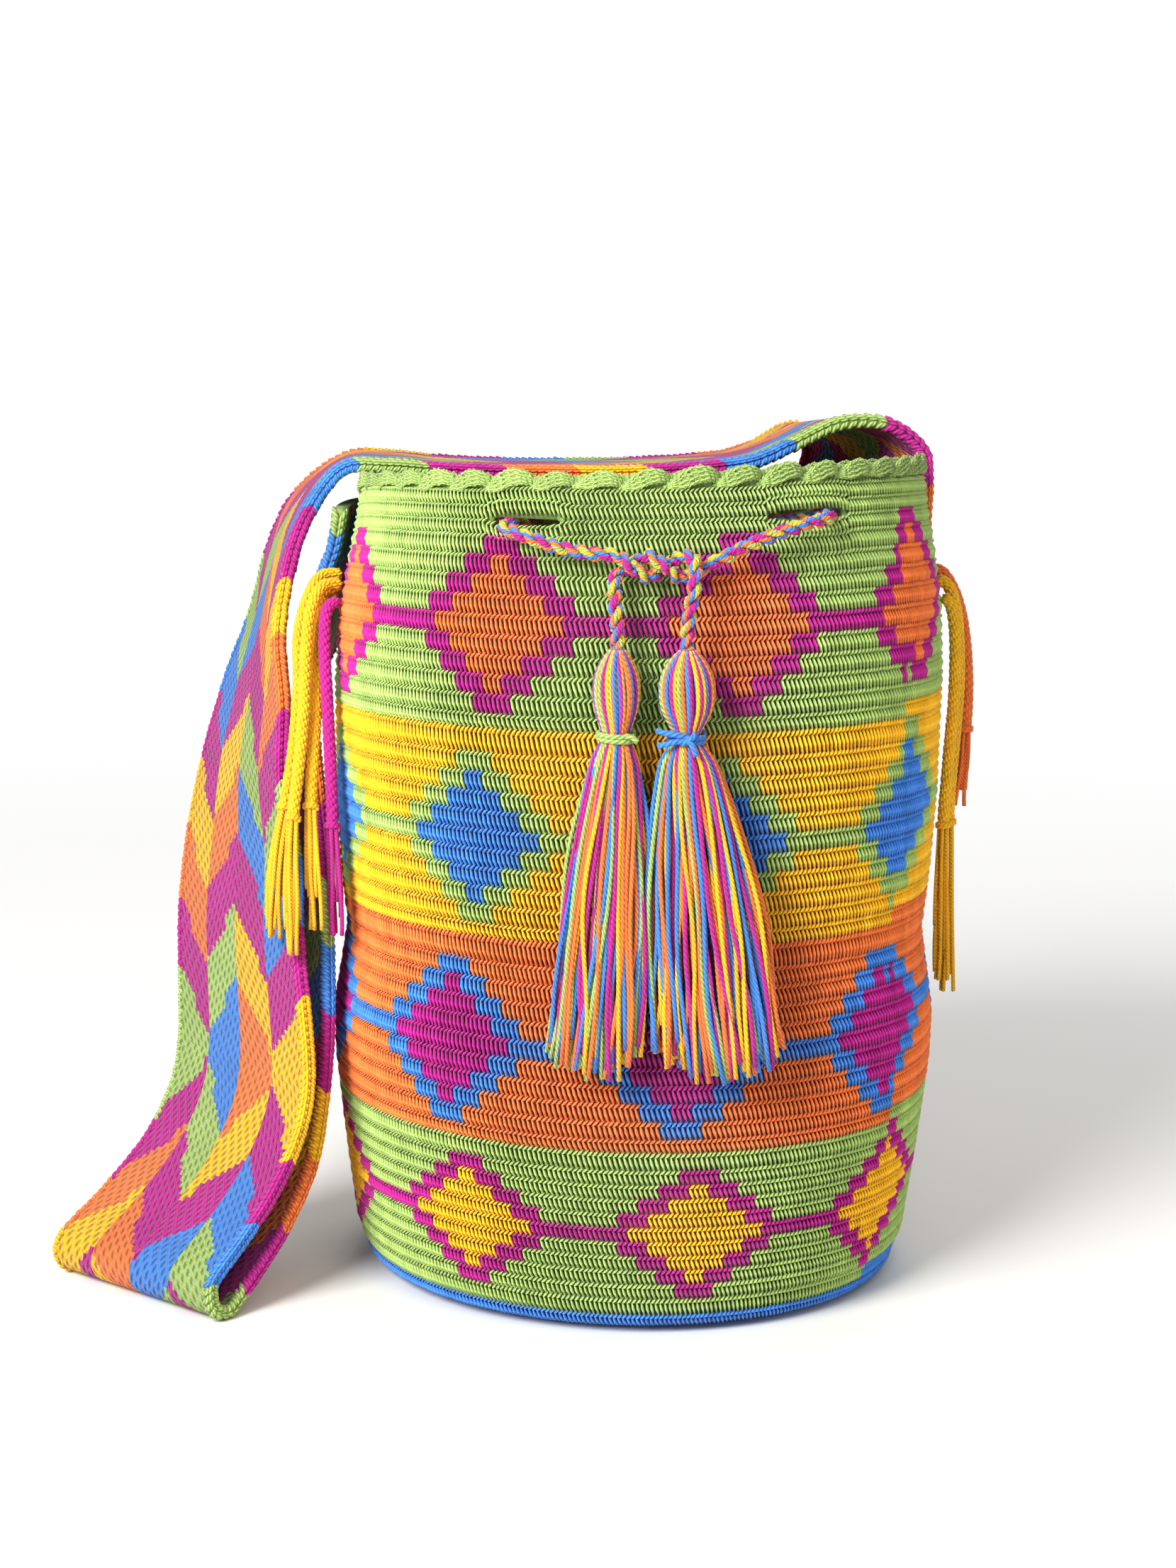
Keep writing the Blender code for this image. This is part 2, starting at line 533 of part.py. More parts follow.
def make_tassel(side, neck_x, hem_x, head_half, hem_half, color, collection):
    """A fluted bundle of yarn: a round head, a neck and a flat skirt."""
    soft = bmesh.new()
    loops = []
    count = 2 * TASSEL_FLUTES
    for height, middle, half_width, half_depth, flute in tassel_rings(
            neck_x, hem_x, head_half, hem_half):
        loop = []
        for k in range(count):
            turn = 2 * math.pi * k / count
            ripple = 1.0 - flute * (k % 2)
            loop.append(soft.verts.new((
                middle + half_width * ripple * math.cos(turn),
                TASSEL_Y + half_depth * ripple * math.sin(turn), height)))
        loops.append(loop)
    for first, second in zip(loops, loops[1:]):
        for k in range(count):
            j = (k + 1) % count
            soft.faces.new((first[k], first[j], second[j], second[k]))
    soft.faces.new(loops[0])
    soft.faces.new(reversed(loops[-1]))
    bmesh.ops.recalc_face_normals(soft, faces=soft.faces)
    mesh = bpy.data.meshes.new(side + "_tassel")
    soft.to_mesh(mesh)
    soft.free()
    return add_piece(mesh, side + "_tassel", [color], collection)


def make_binding(side, neck_x, color, collection):
    """The yarn wound round a tassel's neck."""
    inner = NECK_RADIUS + GAP
    outer = inner + BINDING_THICKNESS
    middle = TASSEL_NECK - BINDING_HEIGHT / 2
    reach = BINDING_HEIGHT / 2 - 2 * GAP
    profile = [(outer, reach * 0.6), (outer, -reach * 0.6), ((inner + outer) / 2, -reach),
               (inner, -reach * 0.6), (inner, reach * 0.6), ((inner + outer) / 2, reach)]
    mesh = bpy.data.meshes.new(side + "_tassel_binding")
    edges = [(i, (i + 1) % len(profile)) for i in range(len(profile))]
    mesh.from_pydata([(radius, 0.0, height) for radius, height in profile], edges, [])
    binding = add_piece(mesh, side + "_tassel_binding", [color], collection)
    binding.location = (neck_x, TASSEL_Y, middle)
    screw = binding.modifiers.new("turn", "SCREW")
    screw.steps = screw.render_steps = 16
    screw.use_merge_vertices = True
    screw.merge_threshold = 0.00001
    return binding


def main():
    clear_scene()
    collection = bpy.data.collections.new(COLLECTION_NAME)
    cutters = bpy.data.collections.new(COLLECTION_NAME + "_cutters")
    bpy.context.scene.collection.children.link(collection)
    bpy.context.scene.collection.children.link(cutters)
    make_body(collection, cutters)
    make_strap(collection)
    make_drawstring(collection)
    make_end_cords(collection)
    for side, neck_x, hem_x, head_half, hem_half, color, binding_color in TASSELS:
        make_tassel(side, neck_x, hem_x, head_half, hem_half, color, collection)
        make_binding(side, neck_x, binding_color, collection)


main()
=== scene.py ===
"""A crocheted mochila bag in acrylic yarn, stitch by stitch, dressed over its CAD solids.

Metres, +Z up, -Y is the front. An angle round the bag is 0 at the front and grows to the right.
"""

import math

import bmesh
import bpy
import numpy as np
from mathutils import Matrix, Vector


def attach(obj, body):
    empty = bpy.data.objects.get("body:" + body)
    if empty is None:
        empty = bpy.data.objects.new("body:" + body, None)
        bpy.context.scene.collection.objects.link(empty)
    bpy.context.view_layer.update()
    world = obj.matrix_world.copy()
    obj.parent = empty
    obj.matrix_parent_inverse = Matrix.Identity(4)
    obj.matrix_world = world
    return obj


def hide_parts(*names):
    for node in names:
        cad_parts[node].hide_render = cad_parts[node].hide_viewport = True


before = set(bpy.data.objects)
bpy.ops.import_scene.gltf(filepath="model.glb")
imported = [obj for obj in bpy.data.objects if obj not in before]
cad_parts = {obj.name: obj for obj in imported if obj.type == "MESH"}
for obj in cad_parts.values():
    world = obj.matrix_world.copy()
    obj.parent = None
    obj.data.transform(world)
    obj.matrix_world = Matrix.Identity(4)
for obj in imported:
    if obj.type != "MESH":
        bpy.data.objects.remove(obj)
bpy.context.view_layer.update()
LUCK = np.random.default_rng(11)
MM = 0.001

# Yarn colours as they look in plain light
YARN_HEX = {
    "green": "A2BE66", "magenta": "B92089", "orange": "F27A3A", "yellow": "FBBC20", "blue": "4484DC",
}
WHITE = (1.0, 1.0, 1.0, 1.0)
FLOOR_HEX = "E9E8E5"

# The body, as the solids have it
WALL_PROFILE = [
    (0.000, 0.0900), (0.004, 0.0972), (0.017, 0.1023), (0.047, 0.1065), (0.080, 0.1103),
    (0.098, 0.1108), (0.129, 0.1061), (0.151, 0.1084), (0.181, 0.1102), (0.224, 0.1108),
    (0.249, 0.1095), (0.267, 0.1068), (0.282, 0.1040), (0.3025, 0.1010),
]
WALL = 4.5 * MM
RIM_MEAN = 0.2964
RIM_FRONT_RISE = 8.0 * MM
RIM_RIGHT_RISE = 4.2 * MM
RIM_SADDLE = -1.9 * MM
RIM_PRESS = 4.8 * MM
RIM_PRESS_ANGLE = -108.0
RIM_PRESS_SPREAD = 25.0
BODY_TOP = 0.3025
EDGING_FOOT = 0.2959

# The rounds of crochet, one spiral: boundary number and height where the spiral was measured
ROUND_HEIGHTS = [
    (-1, 0.3005), (0, 0.2959), (3, 0.2808), (12, 0.2200), (13, 0.2149), (14, 0.2064), (23, 0.1462),
    (24, 0.1414), (25, 0.1326), (34, 0.0742), (35, 0.0695), (36, 0.0629), (45, 0.0152),
    (46, 0.0082), (48, 0.0000), (52, -0.0180),
]
SEAM_ANGLE = 57.0
SEAM_SHARE = 0.767
STITCHES_ROUND = 192
ROUNDS = 48
STITCH_WIDTH = 3.6 * MM
STITCH_HEIGHT = 6.4 * MM

# Bands from the top: rounds, plain rounds over the diamonds, a diamond's angle, and its colours
BANDS = [
    ("upper_green", 13, 3, -27.0, "green", "magenta", "orange"),
    ("yellow", 11, 1, -32.0, "yellow", "green", "blue"),
    ("orange", 11, 1, -36.0, "orange", "blue", "magenta"),
    ("lower_green", 11, 1, -33.5, "green", "magenta", "yellow"),
    ("base_blue", 2, 9, 0.0, "blue", "blue", "blue"),
]
OUTLINE_HALF_WIDTHS = [2, 4, 6, 8, 12, 8, 6, 4, 2]
FILL_HALF_WIDTHS = [0, 1, 3, 5, 7, 5, 3, 1, 0]
STITCHES_REPEAT = 24

# Eyelets: angle and half width in degrees, the height cut through the wall, half the gap that
# the stitches in front of it leave, how far past its ends they move, and its depth below the rim
EYELETS = [(-23.0, 7.0), (32.5, 8.5), (161.0, 7.0), (-150.0, 7.0)]
EYELET_HEIGHT = 5.0 * MM
SLIT_HALF = 2.1 * MM
SLIT_REACH = 1.2
EYELET_DROP = 18.5 * MM
LOBES = 40

# The wall behind the stitches: how far in it lies, its lip as inset and height, the rounds of
# its two round faces with their radii, and the painted shade of its outside, ridges and grooves:
# the outside is darkened to stand for the shade between the stitches, the grooves for the shade
# in them, and the cut faces of the eyelets for the shade inside the holes
WALL_INSET = 1.3 * MM
WALL_TOP = 0.2992
LIP = [(1.6 * MM, 0.3005), (3.3 * MM, 0.3005), (WALL, 0.2985)]
BASE_ROUNDS = 10
UNDERSIDE_RADIUS = 88.5 * MM
FLOOR_RADIUS = 88.0 * MM
OUTSIDE_SHADE = 0.7
RIDGE_SHADE = 1.0
GROOVE_SHADE = 0.45
CUT_SHADE = 0.4

# Strap: the stations of its middle as the solids have them, in tenths of a millimetre, with the
# turn and droop of its width in degrees and its share of the wall's curl
STRAP_WIDTH = 0.085
STRAP_THICKNESS = 5.5 * MM
STRAP_WALL_RADIUS = 0.111
STRAP_STATIONS = [
    (945, 662, 2300, 35, 0, 1), (940, 658, 2430, 35, 0, 1), (926, 648, 2580, 35, 0, 1),
    (907, 637, 2730, 34, 0, 1), (905, 660, 2880, 32, 2, 0.7), (885, 685, 3000, 28, 4, 0.3),
    (790, 695, 3080, 20, 5, 0), (660, 690, 3085, 12, 5, 0), (510, 680, 3010, 8, 4, 0),
    (336, 655, 2952, 6, 2, 0), (-40, 575, 2925, 5, 1.5, 0), (-430, 500, 2922, 4, 1.5, 0),
    (-750, 450, 2932, 3, 1.5, 0), (-950, 430, 2948, 3, 1, 0), (-1120, 415, 2935, 4, 1, 0),
    (-1268, 375, 2790, 8, 0, 0), (-1350, 330, 2600, 10, 0, 0), (-1398, 262, 2350, 12, 0, 0),
    (-1430, 180, 2100, 20, 0, 0), (-1466, 100, 1820, 26, 0, 0), (-1458, -30, 1550, 34, 0, 0),
    (-1459, -145, 1275, 37, 0, 0), (-1438, -235, 1030, 39, 0, 0), (-1422, -325, 815, 40, 0, 0),
    (-1447, -400, 640, 40, 0, 0), (-1534, -480, 450, 41, 0, 0), (-1660, -558, 280, 44, 0, 0),
    (-1727, -612, 206, 46, 0, 0), (-1755, -635, 174, 47, 0, 0), (-1772, -650, 153, 48, 0, 0),
    (-1783, -663, 130, 49, 0, 0), (-1787, -668, 101, 50, 0, 0), (-1783, -663, 71, 50, 0, 0),
    (-1771, -648, 47, 50, 0, 0), (-1754, -628, 33, 50, 0, 0), (-1734, -605, 32, 50, 0, 0),
    (-1719, -587, 40, 50, 0, 0), (-1710, -575, 52, 50, 0, 0), (-1694, -560, 73, 50, 0, 0),
    (-1667, -536, 110, 50, 0, 0), (-1620, -496, 175, 50, 0, 0), (-1545, -425, 290, 49, 0, 0),
    (-1448, -330, 483, 46, 0, 0), (-1392, -240, 702, 42, 0, 0), (-1345, -120, 976, 36, 0, 0),
    (-1320, 0, 1251, 30, 0, 0), (-1290, 135, 1526, 22, 0, 0), (-1245, 285, 1943, 8, 0, 0),
    (-1216, 348, 2167, 0, 0, 0), (-1186, 385, 2363, -8, 0, -0.3), (-1135, 390, 2520, -14, 0, -0.8),
    (-1061, 366, 2670, -19, 0, -1), (-1036, 357, 2810, -19, 0, -1),
]
# One woven stitch along and across the band, the slant of its strands, and the band's columns
STRAP_CELL = (4.5 * MM, 2.36 * MM)
STRAND_SLANT = 0.37
BAND_COLUMNS = 36
# How far the band stays inside its solid at the edges and on the faces
BAND_INSET = (1.2 * MM, 0.5 * MM)
BRAID_PITCH = 2.6 * MM
BRAID_INSET = 1.6 * MM
# Stripes: four columns across the band, mirrored at a place along it
STRIPE_COLUMN = STRAP_WIDTH / 4
STRIPE_MIRROR = 0.516
STRIPE_LENGTH = 26.8 * MM
STRIPE_RISE = 26.0 * MM
STRIPE_ORDER = ["green", "magenta", "orange", "yellow", "magenta", "blue"]
STRIPE_PHASES = [9.82, 8.82, 5.82, 6.82]

# Drawstring: the lay is the length of one turn, of the strands and of the yarns in a strand.
# Then the route of its solid in tenths of a millimetre, and how many rows each end has
CORD_LAY = 10.4 * MM
STRAND_LAY = 9.0 * MM
CORD_STRANDS = [["magenta", "orange", "blue", "magenta"], ["yellow", "blue", "orange", "green"]]
DRAWSTRING_ROUTE = [
    (-90, -1203, 2447), (-90, -1202, 2500), (-98, -1176, 2595), (-98, -1146, 2674),
    (-43, -1109, 2710), (12, -1145, 2746), (67, -1181, 2710), (122, -1145, 2674),
    (206, -1128, 2715), (355, -1082, 2785), (485, -1012, 2830), (588, -945, 2855),
    (625, -885, 2862), (592, -820, 2862), (585, -730, 2860), (740, -575, 2852), (925, -230, 2840),
    (950, 90, 2810), (880, 370, 2775), (710, 605, 2745), (485, 775, 2715), (350, 890, 2702),
    (345, 985, 2700), (270, 1080, 2690), (0, 1125, 2680), (-310, 1080, 2678), (-480, 985, 2674),
    (-510, 895, 2674), (-560, 770, 2680), (-760, 560, 2700), (-895, 270, 2720), (-945, 0, 2745),
    (-880, -350, 2785), (-700, -630, 2810), (-510, -780, 2822), (-450, -880, 2823),
    (-475, -965, 2822), (-420, -1022, 2802), (-304, -1075, 2768), (-190, -1118, 2750),
    (-98, -1145, 2746), (-43, -1181, 2710), (12, -1145, 2674), (67, -1109, 2710),
    (122, -1145, 2748), (160, -1195, 2738), (160, -1232, 2665), (148, -1228, 2585),
    (140, -1212, 2500), (140, -1210, 2447),
]
LEFT_END_ROWS = 6
RIGHT_END_ROWS = 8
# Each end runs on inside its tassel down to this height
CORE_END = 0.190

# Tassels: x of the neck and of the hem, half widths of the head and the hem, and the wrap's colour
TASSEL_Y = -0.1212
TASSEL_TOP = 0.2443
TASSEL_NECK = 0.2182
TASSEL_HEM = 0.0965
TASSEL_DEPTH = 7.6 * MM
NECK_RADIUS = 5.2 * MM
WRAP_TURNS = 2
TASSEL_YARNS = 111
TASSELS = {
    "left": (-0.0090, -0.0140, 0.0080, 0.0165, "green"),
    "right": (0.0143, 0.0270, 0.0095, 0.0220, "blue"),
}
# The ends of the yarn tied round each neck, from the neck's middle, in millimetres
TIE_ENDS = {
    "left": [[(3.0, -5.0, -2.0), (5.4, -5.2, -2.6), (7.2, -5.2, -4.0)]],
    "right": [[(0.5, -5.6, -2.0), (-3.5, -6.8, -1.2), (-7.5, -6.6, -0.6), (-10.0, -6.0, 0.2)],
              [(0.5, -5.6, -3.2), (-3.5, -6.8, -3.4), (-7.0, -6.6, -4.4), (-9.6, -6.0, -5.0)],
              [(-1.5, -6.0, -4.2), (1.2, -7.6, -2.6), (2.8, -6.6, -0.6)],
              [(0.0, -6.4, -2.0), (1.8, -7.8, -4.6), (3.2, -8.0, -8.0)]],
}

# Cords at the strap's ends: colour, length of the frayed tail, and the route of each solid in
# tenths of a millimetre
END_CORD_LAY = 11.5 * MM
END_CORDS = {
    "left_strap_cord_1": ("yellow", 0.048, [
        (-1096, -76, 2565), (-1160, -110, 2560), (-1205, -185, 2480), (-1230, -250, 2350),
        (-1225, -300, 2190), (-1235, -380, 1980), (-1262, -445, 1770), (-1290, -485, 1580),
        (-1302, -492, 1300)]),
    "left_strap_cord_2": ("yellow", 0.045, [
        (-1109, -77, 2506), (-1150, -118, 2492), (-1163, -185, 2400), (-1162, -245, 2290),
        (-1160, -310, 2140), (-1165, -390, 1960), (-1168, -455, 1780), (-1160, -488, 1580),
        (-1150, -490, 1330)]),
    "left_strap_cord_3": ("yellow", 0.05, [
        (-1092, -143, 2535), (-1150, -190, 2530), (-1188, -265, 2440), (-1198, -330, 2280),
        (-1200, -400, 2090), (-1212, -470, 1900), (-1225, -520, 1750), (-1230, -545, 1560),
        (-1228, -550, 1250)]),
    "left_strap_cord_4": ("magenta", 0.04, [
        (-1093, -204, 2480), (-1130, -245, 2450), (-1134, -290, 2330), (-1120, -340, 2140),
        (-1105, -385, 1930), (-1094, -425, 1720), (-1086, -440, 1500), (-1080, -440, 1300)]),
    "right_strap_cord_1": ("orange", 0.03, [
        (1083, 186, 2588), (1135, 196, 2575), (1190, 205, 2480), (1222, 205, 2350),
        (1238, 200, 2200), (1240, 190, 2060), (1230, 180, 1900), (1215, 175, 1700)]),
    "right_strap_cord_2": ("yellow", 0.065, [
        (1106, 111, 2560), (1150, 120, 2530), (1180, 125, 2440), (1195, 125, 2300),
        (1198, 120, 2150), (1190, 115, 1980), (1180, 110, 1820), (1175, 105, 1650),
        (1185, 100, 1000)]),
    "right_strap_cord_3": ("yellow", 0.06, [
        (1121, 35, 2500), (1150, 40, 2470), (1168, 45, 2380), (1174, 45, 2250), (1172, 40, 2100),
        (1162, 35, 1950), (1154, 30, 1800), (1148, 28, 1650), (1152, 25, 1060)]),
}

# The camera, from the photograph's perspective, in its own pixels
PHOTO_SIZE = (1659, 2212)
FOCAL_PIXELS = 4375
CAMERA_PLACE = (-0.018, -1.136, 0.369)
CAMERA_PITCH = 9.5
CAMERA_ROLL = 0.8


def linear(hex_color):
    """Linear red, green, blue and alpha of an sRGB hex colour."""
    parts = [int(hex_color[i:i + 2], 16) / 255 for i in (0, 2, 4)]
    return (*[c / 12.92 if c <= 0.04045 else ((c + 0.055) / 1.055) ** 2.4 for c in parts], 1.0)


YARN = {name: linear(code) for name, code in YARN_HEX.items()}


def add_node(tree, kind, settings=None, inputs=None):
    """Adds a node, makes its settings, and sets or links its inputs."""
    node = tree.nodes.new(kind)
    for name, value in (settings or {}).items():
        setattr(node, name, value)
    for key, value in (inputs or {}).items():
        if isinstance(value, bpy.types.NodeSocket):
            tree.links.new(value, node.inputs[key])
        else:
            node.inputs[key].default_value = value
    return node


def shade_of(name, share):
    """A yarn colour in shade."""
    return tuple(share * c for c in YARN[name][:3]) + (1.0,)


def in_metres(rows):
    """Rows whose first three numbers are tenths of a millimetre."""
    rows = np.array(rows, float)
    rows[:, :3] /= 10000
    return rows


def smooth_through(rows, steps):
    """Rows of numbers read from a smooth curve through the given rows, ends included."""
    rows = np.array(rows, float)
    padded = np.vstack([2 * rows[0] - rows[1], rows, 2 * rows[-1] - rows[-2]])
    share = np.arange(steps)[:, None] / steps
    out = []
    for p0, p1, p2, p3 in zip(padded, padded[1:], padded[2:], padded[3:]):
        out.append(0.5 * (2 * p1 + (p2 - p0) * share + (2 * p0 - 5 * p1 + 4 * p2 - p3) * share ** 2
                          + (3 * p1 - p0 - 3 * p2 + p3) * share ** 3))
    return np.vstack(out + [rows[-1:]])


def lengths_along(line):
    steps = np.linalg.norm(np.diff(line[:, :3], axis=0), axis=1)
    return np.concatenate([[0.0], np.cumsum(steps)])


def evenly(line, spacing):
    """The same line with points an even distance apart."""
    far = lengths_along(line)
    count = max(3, int(round(far[-1] / spacing)) + 1)
    even = np.linspace(0.0, far[-1], count)
    return np.column_stack([np.interp(even, far, line[:, i]) for i in range(line.shape[1])])


def unit(vectors):
    return vectors / np.linalg.norm(vectors, axis=-1, keepdims=True)


def path_frames(line):
    """Ahead, side and up directions along a line, turned as little as can be."""
    ahead = unit(np.gradient(line, axis=0))
    start = np.array([0.0, 0.0, 1.0]) if abs(ahead[0][2]) < 0.9 else np.array([0.0, 1.0, 0.0])
    side = np.empty_like(ahead)
    side[0] = unit(np.cross(start, ahead[0]))
    for i in range(1, len(line)):
        kept = side[i - 1] - ahead[i] * side[i - 1].dot(ahead[i])
        side[i] = kept / np.linalg.norm(kept)
    return ahead, side, np.cross(ahead, side)


def twisted(line, radius, pitch, start):
    """A line that winds round another one."""
    _, side, up = path_frames(line)
    turn = start + 2 * math.pi * lengths_along(line) / pitch
    return line + radius * (np.cos(turn)[:, None] * side + np.sin(turn)[:, None] * up)


class YarnBundle:
    """Collects closed tubes of yarn, with a colour each and a map along and round it."""

    def __init__(self):
        self.points, self.colors, self.faces, self.maps = [], [], [], []
        self.count = 0

    def add(self, line, radius, color, sides):
        """One tube. The radius is a number or one for each point of the line."""
        line = np.asarray(line, float)
        _, side, up = path_frames(line)
        radii = np.broadcast_to(radius, len(line))
        turns = 2 * math.pi * np.arange(sides) / sides + math.pi / 2
        rings = (np.cos(turns)[None, :, None] * side[:, None, :]
                 + np.sin(turns)[None, :, None] * up[:, None, :])
        points = line[:, None, :] + radii[:, None, None] * rings
        self.points.append(points.reshape(-1, 3))
        self.colors.append(np.tile(color, (points.shape[0] * sides, 1)))
        far = lengths_along(line) / MM
        first = self.count
        for i in range(len(line) - 1):
            for k in range(sides):
                j = (k + 1) % sides
                a, b = first + i * sides, first + (i + 1) * sides
                self.faces.append((a + k, a + j, b + j, b + k))
                self.maps += [(far[i], k / sides), (far[i], (k + 1) / sides),
                              (far[i + 1], (k + 1) / sides), (far[i + 1], k / sides)]
        last = first + (len(line) - 1) * sides
        self.faces.append(tuple(reversed(range(first, first + sides))))
        self.faces.append(tuple(range(last, last + sides)))
        self.maps += [(0.0, 0.0)] * sides + [(far[-1], 0.0)] * sides
        self.count += len(line) * sides

    def mesh(self, name):
        mesh = bpy.data.meshes.new(name)
        mesh.from_pydata(np.vstack(self.points).tolist(), [], self.faces)
        dress_mesh(mesh, np.vstack(self.colors), self.maps)
        return mesh


def dress_mesh(mesh, colors, maps):
    """Gives a mesh its yarn colours, its map and smooth faces."""
    attribute = mesh.attributes.new("yarn", "FLOAT_COLOR", "POINT")
    attribute.data.foreach_set("color", np.asarray(colors, np.float32).ravel())
    layer = mesh.uv_layers.new(name="UVMap")
    layer.data.foreach_set("uv", np.asarray(maps, np.float32).ravel())
    mesh.shade_smooth()
    mesh.update()


def new_piece(mesh, material, slot, *nodes):
    """A finished piece that rides on the bag and stands for the CAD nodes."""
    if material.name not in mesh.materials:
        mesh.materials.clear()
        mesh.materials.append(material)
    piece = bpy.data.objects.new(mesh.name, mesh)
    bpy.context.scene.collection.objects.link(piece)
    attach(piece, "root")
    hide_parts(*nodes)
    return piece


def rim_height(turn):
    """Height of the mouth at an angle in radians."""
    away = (np.degrees(turn) - RIM_PRESS_ANGLE + 180) % 360 - 180
    return (RIM_MEAN + RIM_FRONT_RISE * np.cos(turn) + RIM_RIGHT_RISE * np.sin(turn)
            + RIM_SADDLE * np.cos(2 * turn) - RIM_PRESS * np.exp(-(away / RIM_PRESS_SPREAD) ** 2))


def wall_radius(height):
    heights, radii = zip(*WALL_PROFILE)
    return np.interp(height, heights, radii)


def round_height(boundary):
    numbers, heights = zip(*ROUND_HEIGHTS)
    return np.interp(boundary, numbers, heights)


def wall_point(turn, height, inset=0.0):
    """Points on the outside of the wall: angle in radians, height on the upright body."""
    turn, height = np.broadcast_arrays(turn, height)
    radius = wall_radius(height) - inset
    lean = (rim_height(turn) - BODY_TOP) * (np.clip(height, 0, None) / BODY_TOP) ** 2
    return np.stack([radius * np.sin(turn), -radius * np.cos(turn), height + lean], axis=-1)


def spiral_height(row, column):
    """Height of a round's upper boundary at a stitch column, counted from the seam."""
    return round_height(row + column / STITCHES_ROUND - SEAM_SHARE)


def column_turn(column):
    return np.radians(SEAM_ANGLE + column * 360.0 / STITCHES_ROUND)


def band_rows(name):
    """First and last row of a band."""
    first = 0
    for band in BANDS:
        if band[0] == name:
            return first, first + band[1]
        first += band[1]


def pattern_color(row, turn):
    """Yarn of a stitch: its round from the top and its angle in radians."""
    row = max(row, 0)
    for _, rounds, plain, middle, ground, outline, fill in BANDS:
        if row < rounds:
            break
        row -= rounds
    line = row - plain
    if not 0 <= line < len(OUTLINE_HALF_WIDTHS):
        return ground
    place = (math.degrees(turn) - middle) / 360.0 * STITCHES_ROUND
    across = abs((place + STITCHES_REPEAT / 2) % STITCHES_REPEAT - STITCHES_REPEAT / 2)
    if across < FILL_HALF_WIDTHS[line]:
        return fill
    return outline if across < OUTLINE_HALF_WIDTHS[line] else ground


def yarn_surface(name, form, shades, depth):
    """Matte acrylic yarn with soft fibres. The form draws its plies or its stitches."""
    material = bpy.data.materials.new(name)
    material.use_nodes = True
    tree = material.node_tree
    shader = tree.nodes["Principled BSDF"]
    color = add_node(tree, "ShaderNodeAttribute", {"attribute_name": "yarn"})
    place = add_node(tree, "ShaderNodeUVMap", {"uv_map": "UVMap"})
    height = form(tree, place.outputs["UV"])
    where = add_node(tree, "ShaderNodeTexCoord")
    # The form again in the colour, as painted shade in the gaps between plies and painted light on
    # their crests, because the gaps are too fine to cast shade
    form_light = add_node(tree, "ShaderNodeMapRange", None, {
        "Value": height, "To Min": shades[0], "To Max": shades[1]})
    # Fibres: noise of about 0.6 mm, coarser than real fibres so that it shows
    fibre = add_node(tree, "ShaderNodeTexNoise", None, {
        "Vector": where.outputs["Object"], "Scale": 1700.0, "Detail": 2.0})
    fibre_light = add_node(tree, "ShaderNodeMapRange", None, {
        "Value": fibre.outputs["Fac"], "From Min": 0.3, "From Max": 0.7, "To Min": 0.90,
        "To Max": 1.10})
    # Dye and handling: slow change of tone over a few centimetres
    tone = add_node(tree, "ShaderNodeTexNoise", None, {
        "Vector": where.outputs["Object"], "Scale": 70.0, "Detail": 3.0})
    tone_light = add_node(tree, "ShaderNodeMapRange", None, {
        "Value": tone.outputs["Fac"], "From Min": 0.3, "From Max": 0.7, "To Min": 0.93,
        "To Max": 1.06})
    both = add_node(tree, "ShaderNodeMath", {"operation": "MULTIPLY"}, {
        0: form_light.outputs["Result"], 1: fibre_light.outputs["Result"]})
    light = add_node(tree, "ShaderNodeMath", {"operation": "MULTIPLY"}, {
        0: both.outputs["Value"], 1: tone_light.outputs["Result"]})
    shaded = add_node(tree, "ShaderNodeVectorMath", {"operation": "SCALE"}, {
        0: color.outputs["Color"], "Scale": light.outputs["Value"]})
    relief = add_node(tree, "ShaderNodeMath", {"operation": "MULTIPLY_ADD"}, {
        0: fibre.outputs["Fac"], 1: 0.3, 2: height})
    bump = add_node(tree, "ShaderNodeBump", None, {
        "Height": relief.outputs["Value"], "Distance": depth, "Strength": 0.9})
    tree.links.new(shaded.outputs["Vector"], shader.inputs["Base Color"])
    tree.links.new(bump.outputs["Normal"], shader.inputs["Normal"])
    shader.inputs["Roughness"].default_value = 0.88
    shader.inputs["Specular IOR Level"].default_value = 0.2
    shader.inputs["Sheen Weight"].default_value = 0.12
    shader.inputs["Sheen Roughness"].default_value = 0.5
    return material


def plies(pitch, count):
    """Slanting plies, on a map in millimetres along the yarn and in turns round it."""
    def form(tree, place):
        wave_turn = 2 * math.pi / 10
        twist = add_node(tree, "ShaderNodeMapping", None, {
            "Vector": place, "Scale": (wave_turn / pitch, wave_turn * count, 0.0)})
        wave = add_node(tree, "ShaderNodeTexWave", {"bands_direction": "DIAGONAL"}, {
            "Vector": twist.outputs["Vector"], "Scale": 1.0, "Distortion": 0.0})
        return wave.outputs["Fac"]
    return form


def crested_plies(tree, place):
    """Plies on strands with painted light along the crest and painted shade where two strands meet.
    """
    parts = add_node(tree, "ShaderNodeSeparateXYZ", None, {"Vector": place})
    turn = add_node(tree, "ShaderNodeMath", {"operation": "MULTIPLY"}, {
        0: parts.outputs["Y"], 1: 2 * math.pi})
    wave = add_node(tree, "ShaderNodeMath", {"operation": "COSINE"}, {0: turn.outputs["Value"]})
    crest = add_node(tree, "ShaderNodeMapRange", None, {
        "Value": wave.outputs["Value"], "From Min": -0.5, "To Max": 0.78})
    return add_node(tree, "ShaderNodeMath", {"operation": "MULTIPLY_ADD"}, {
        0: plies(2.1, 1)(tree, place), 1: 0.22, 2: crest.outputs["Result"]}).outputs["Value"]


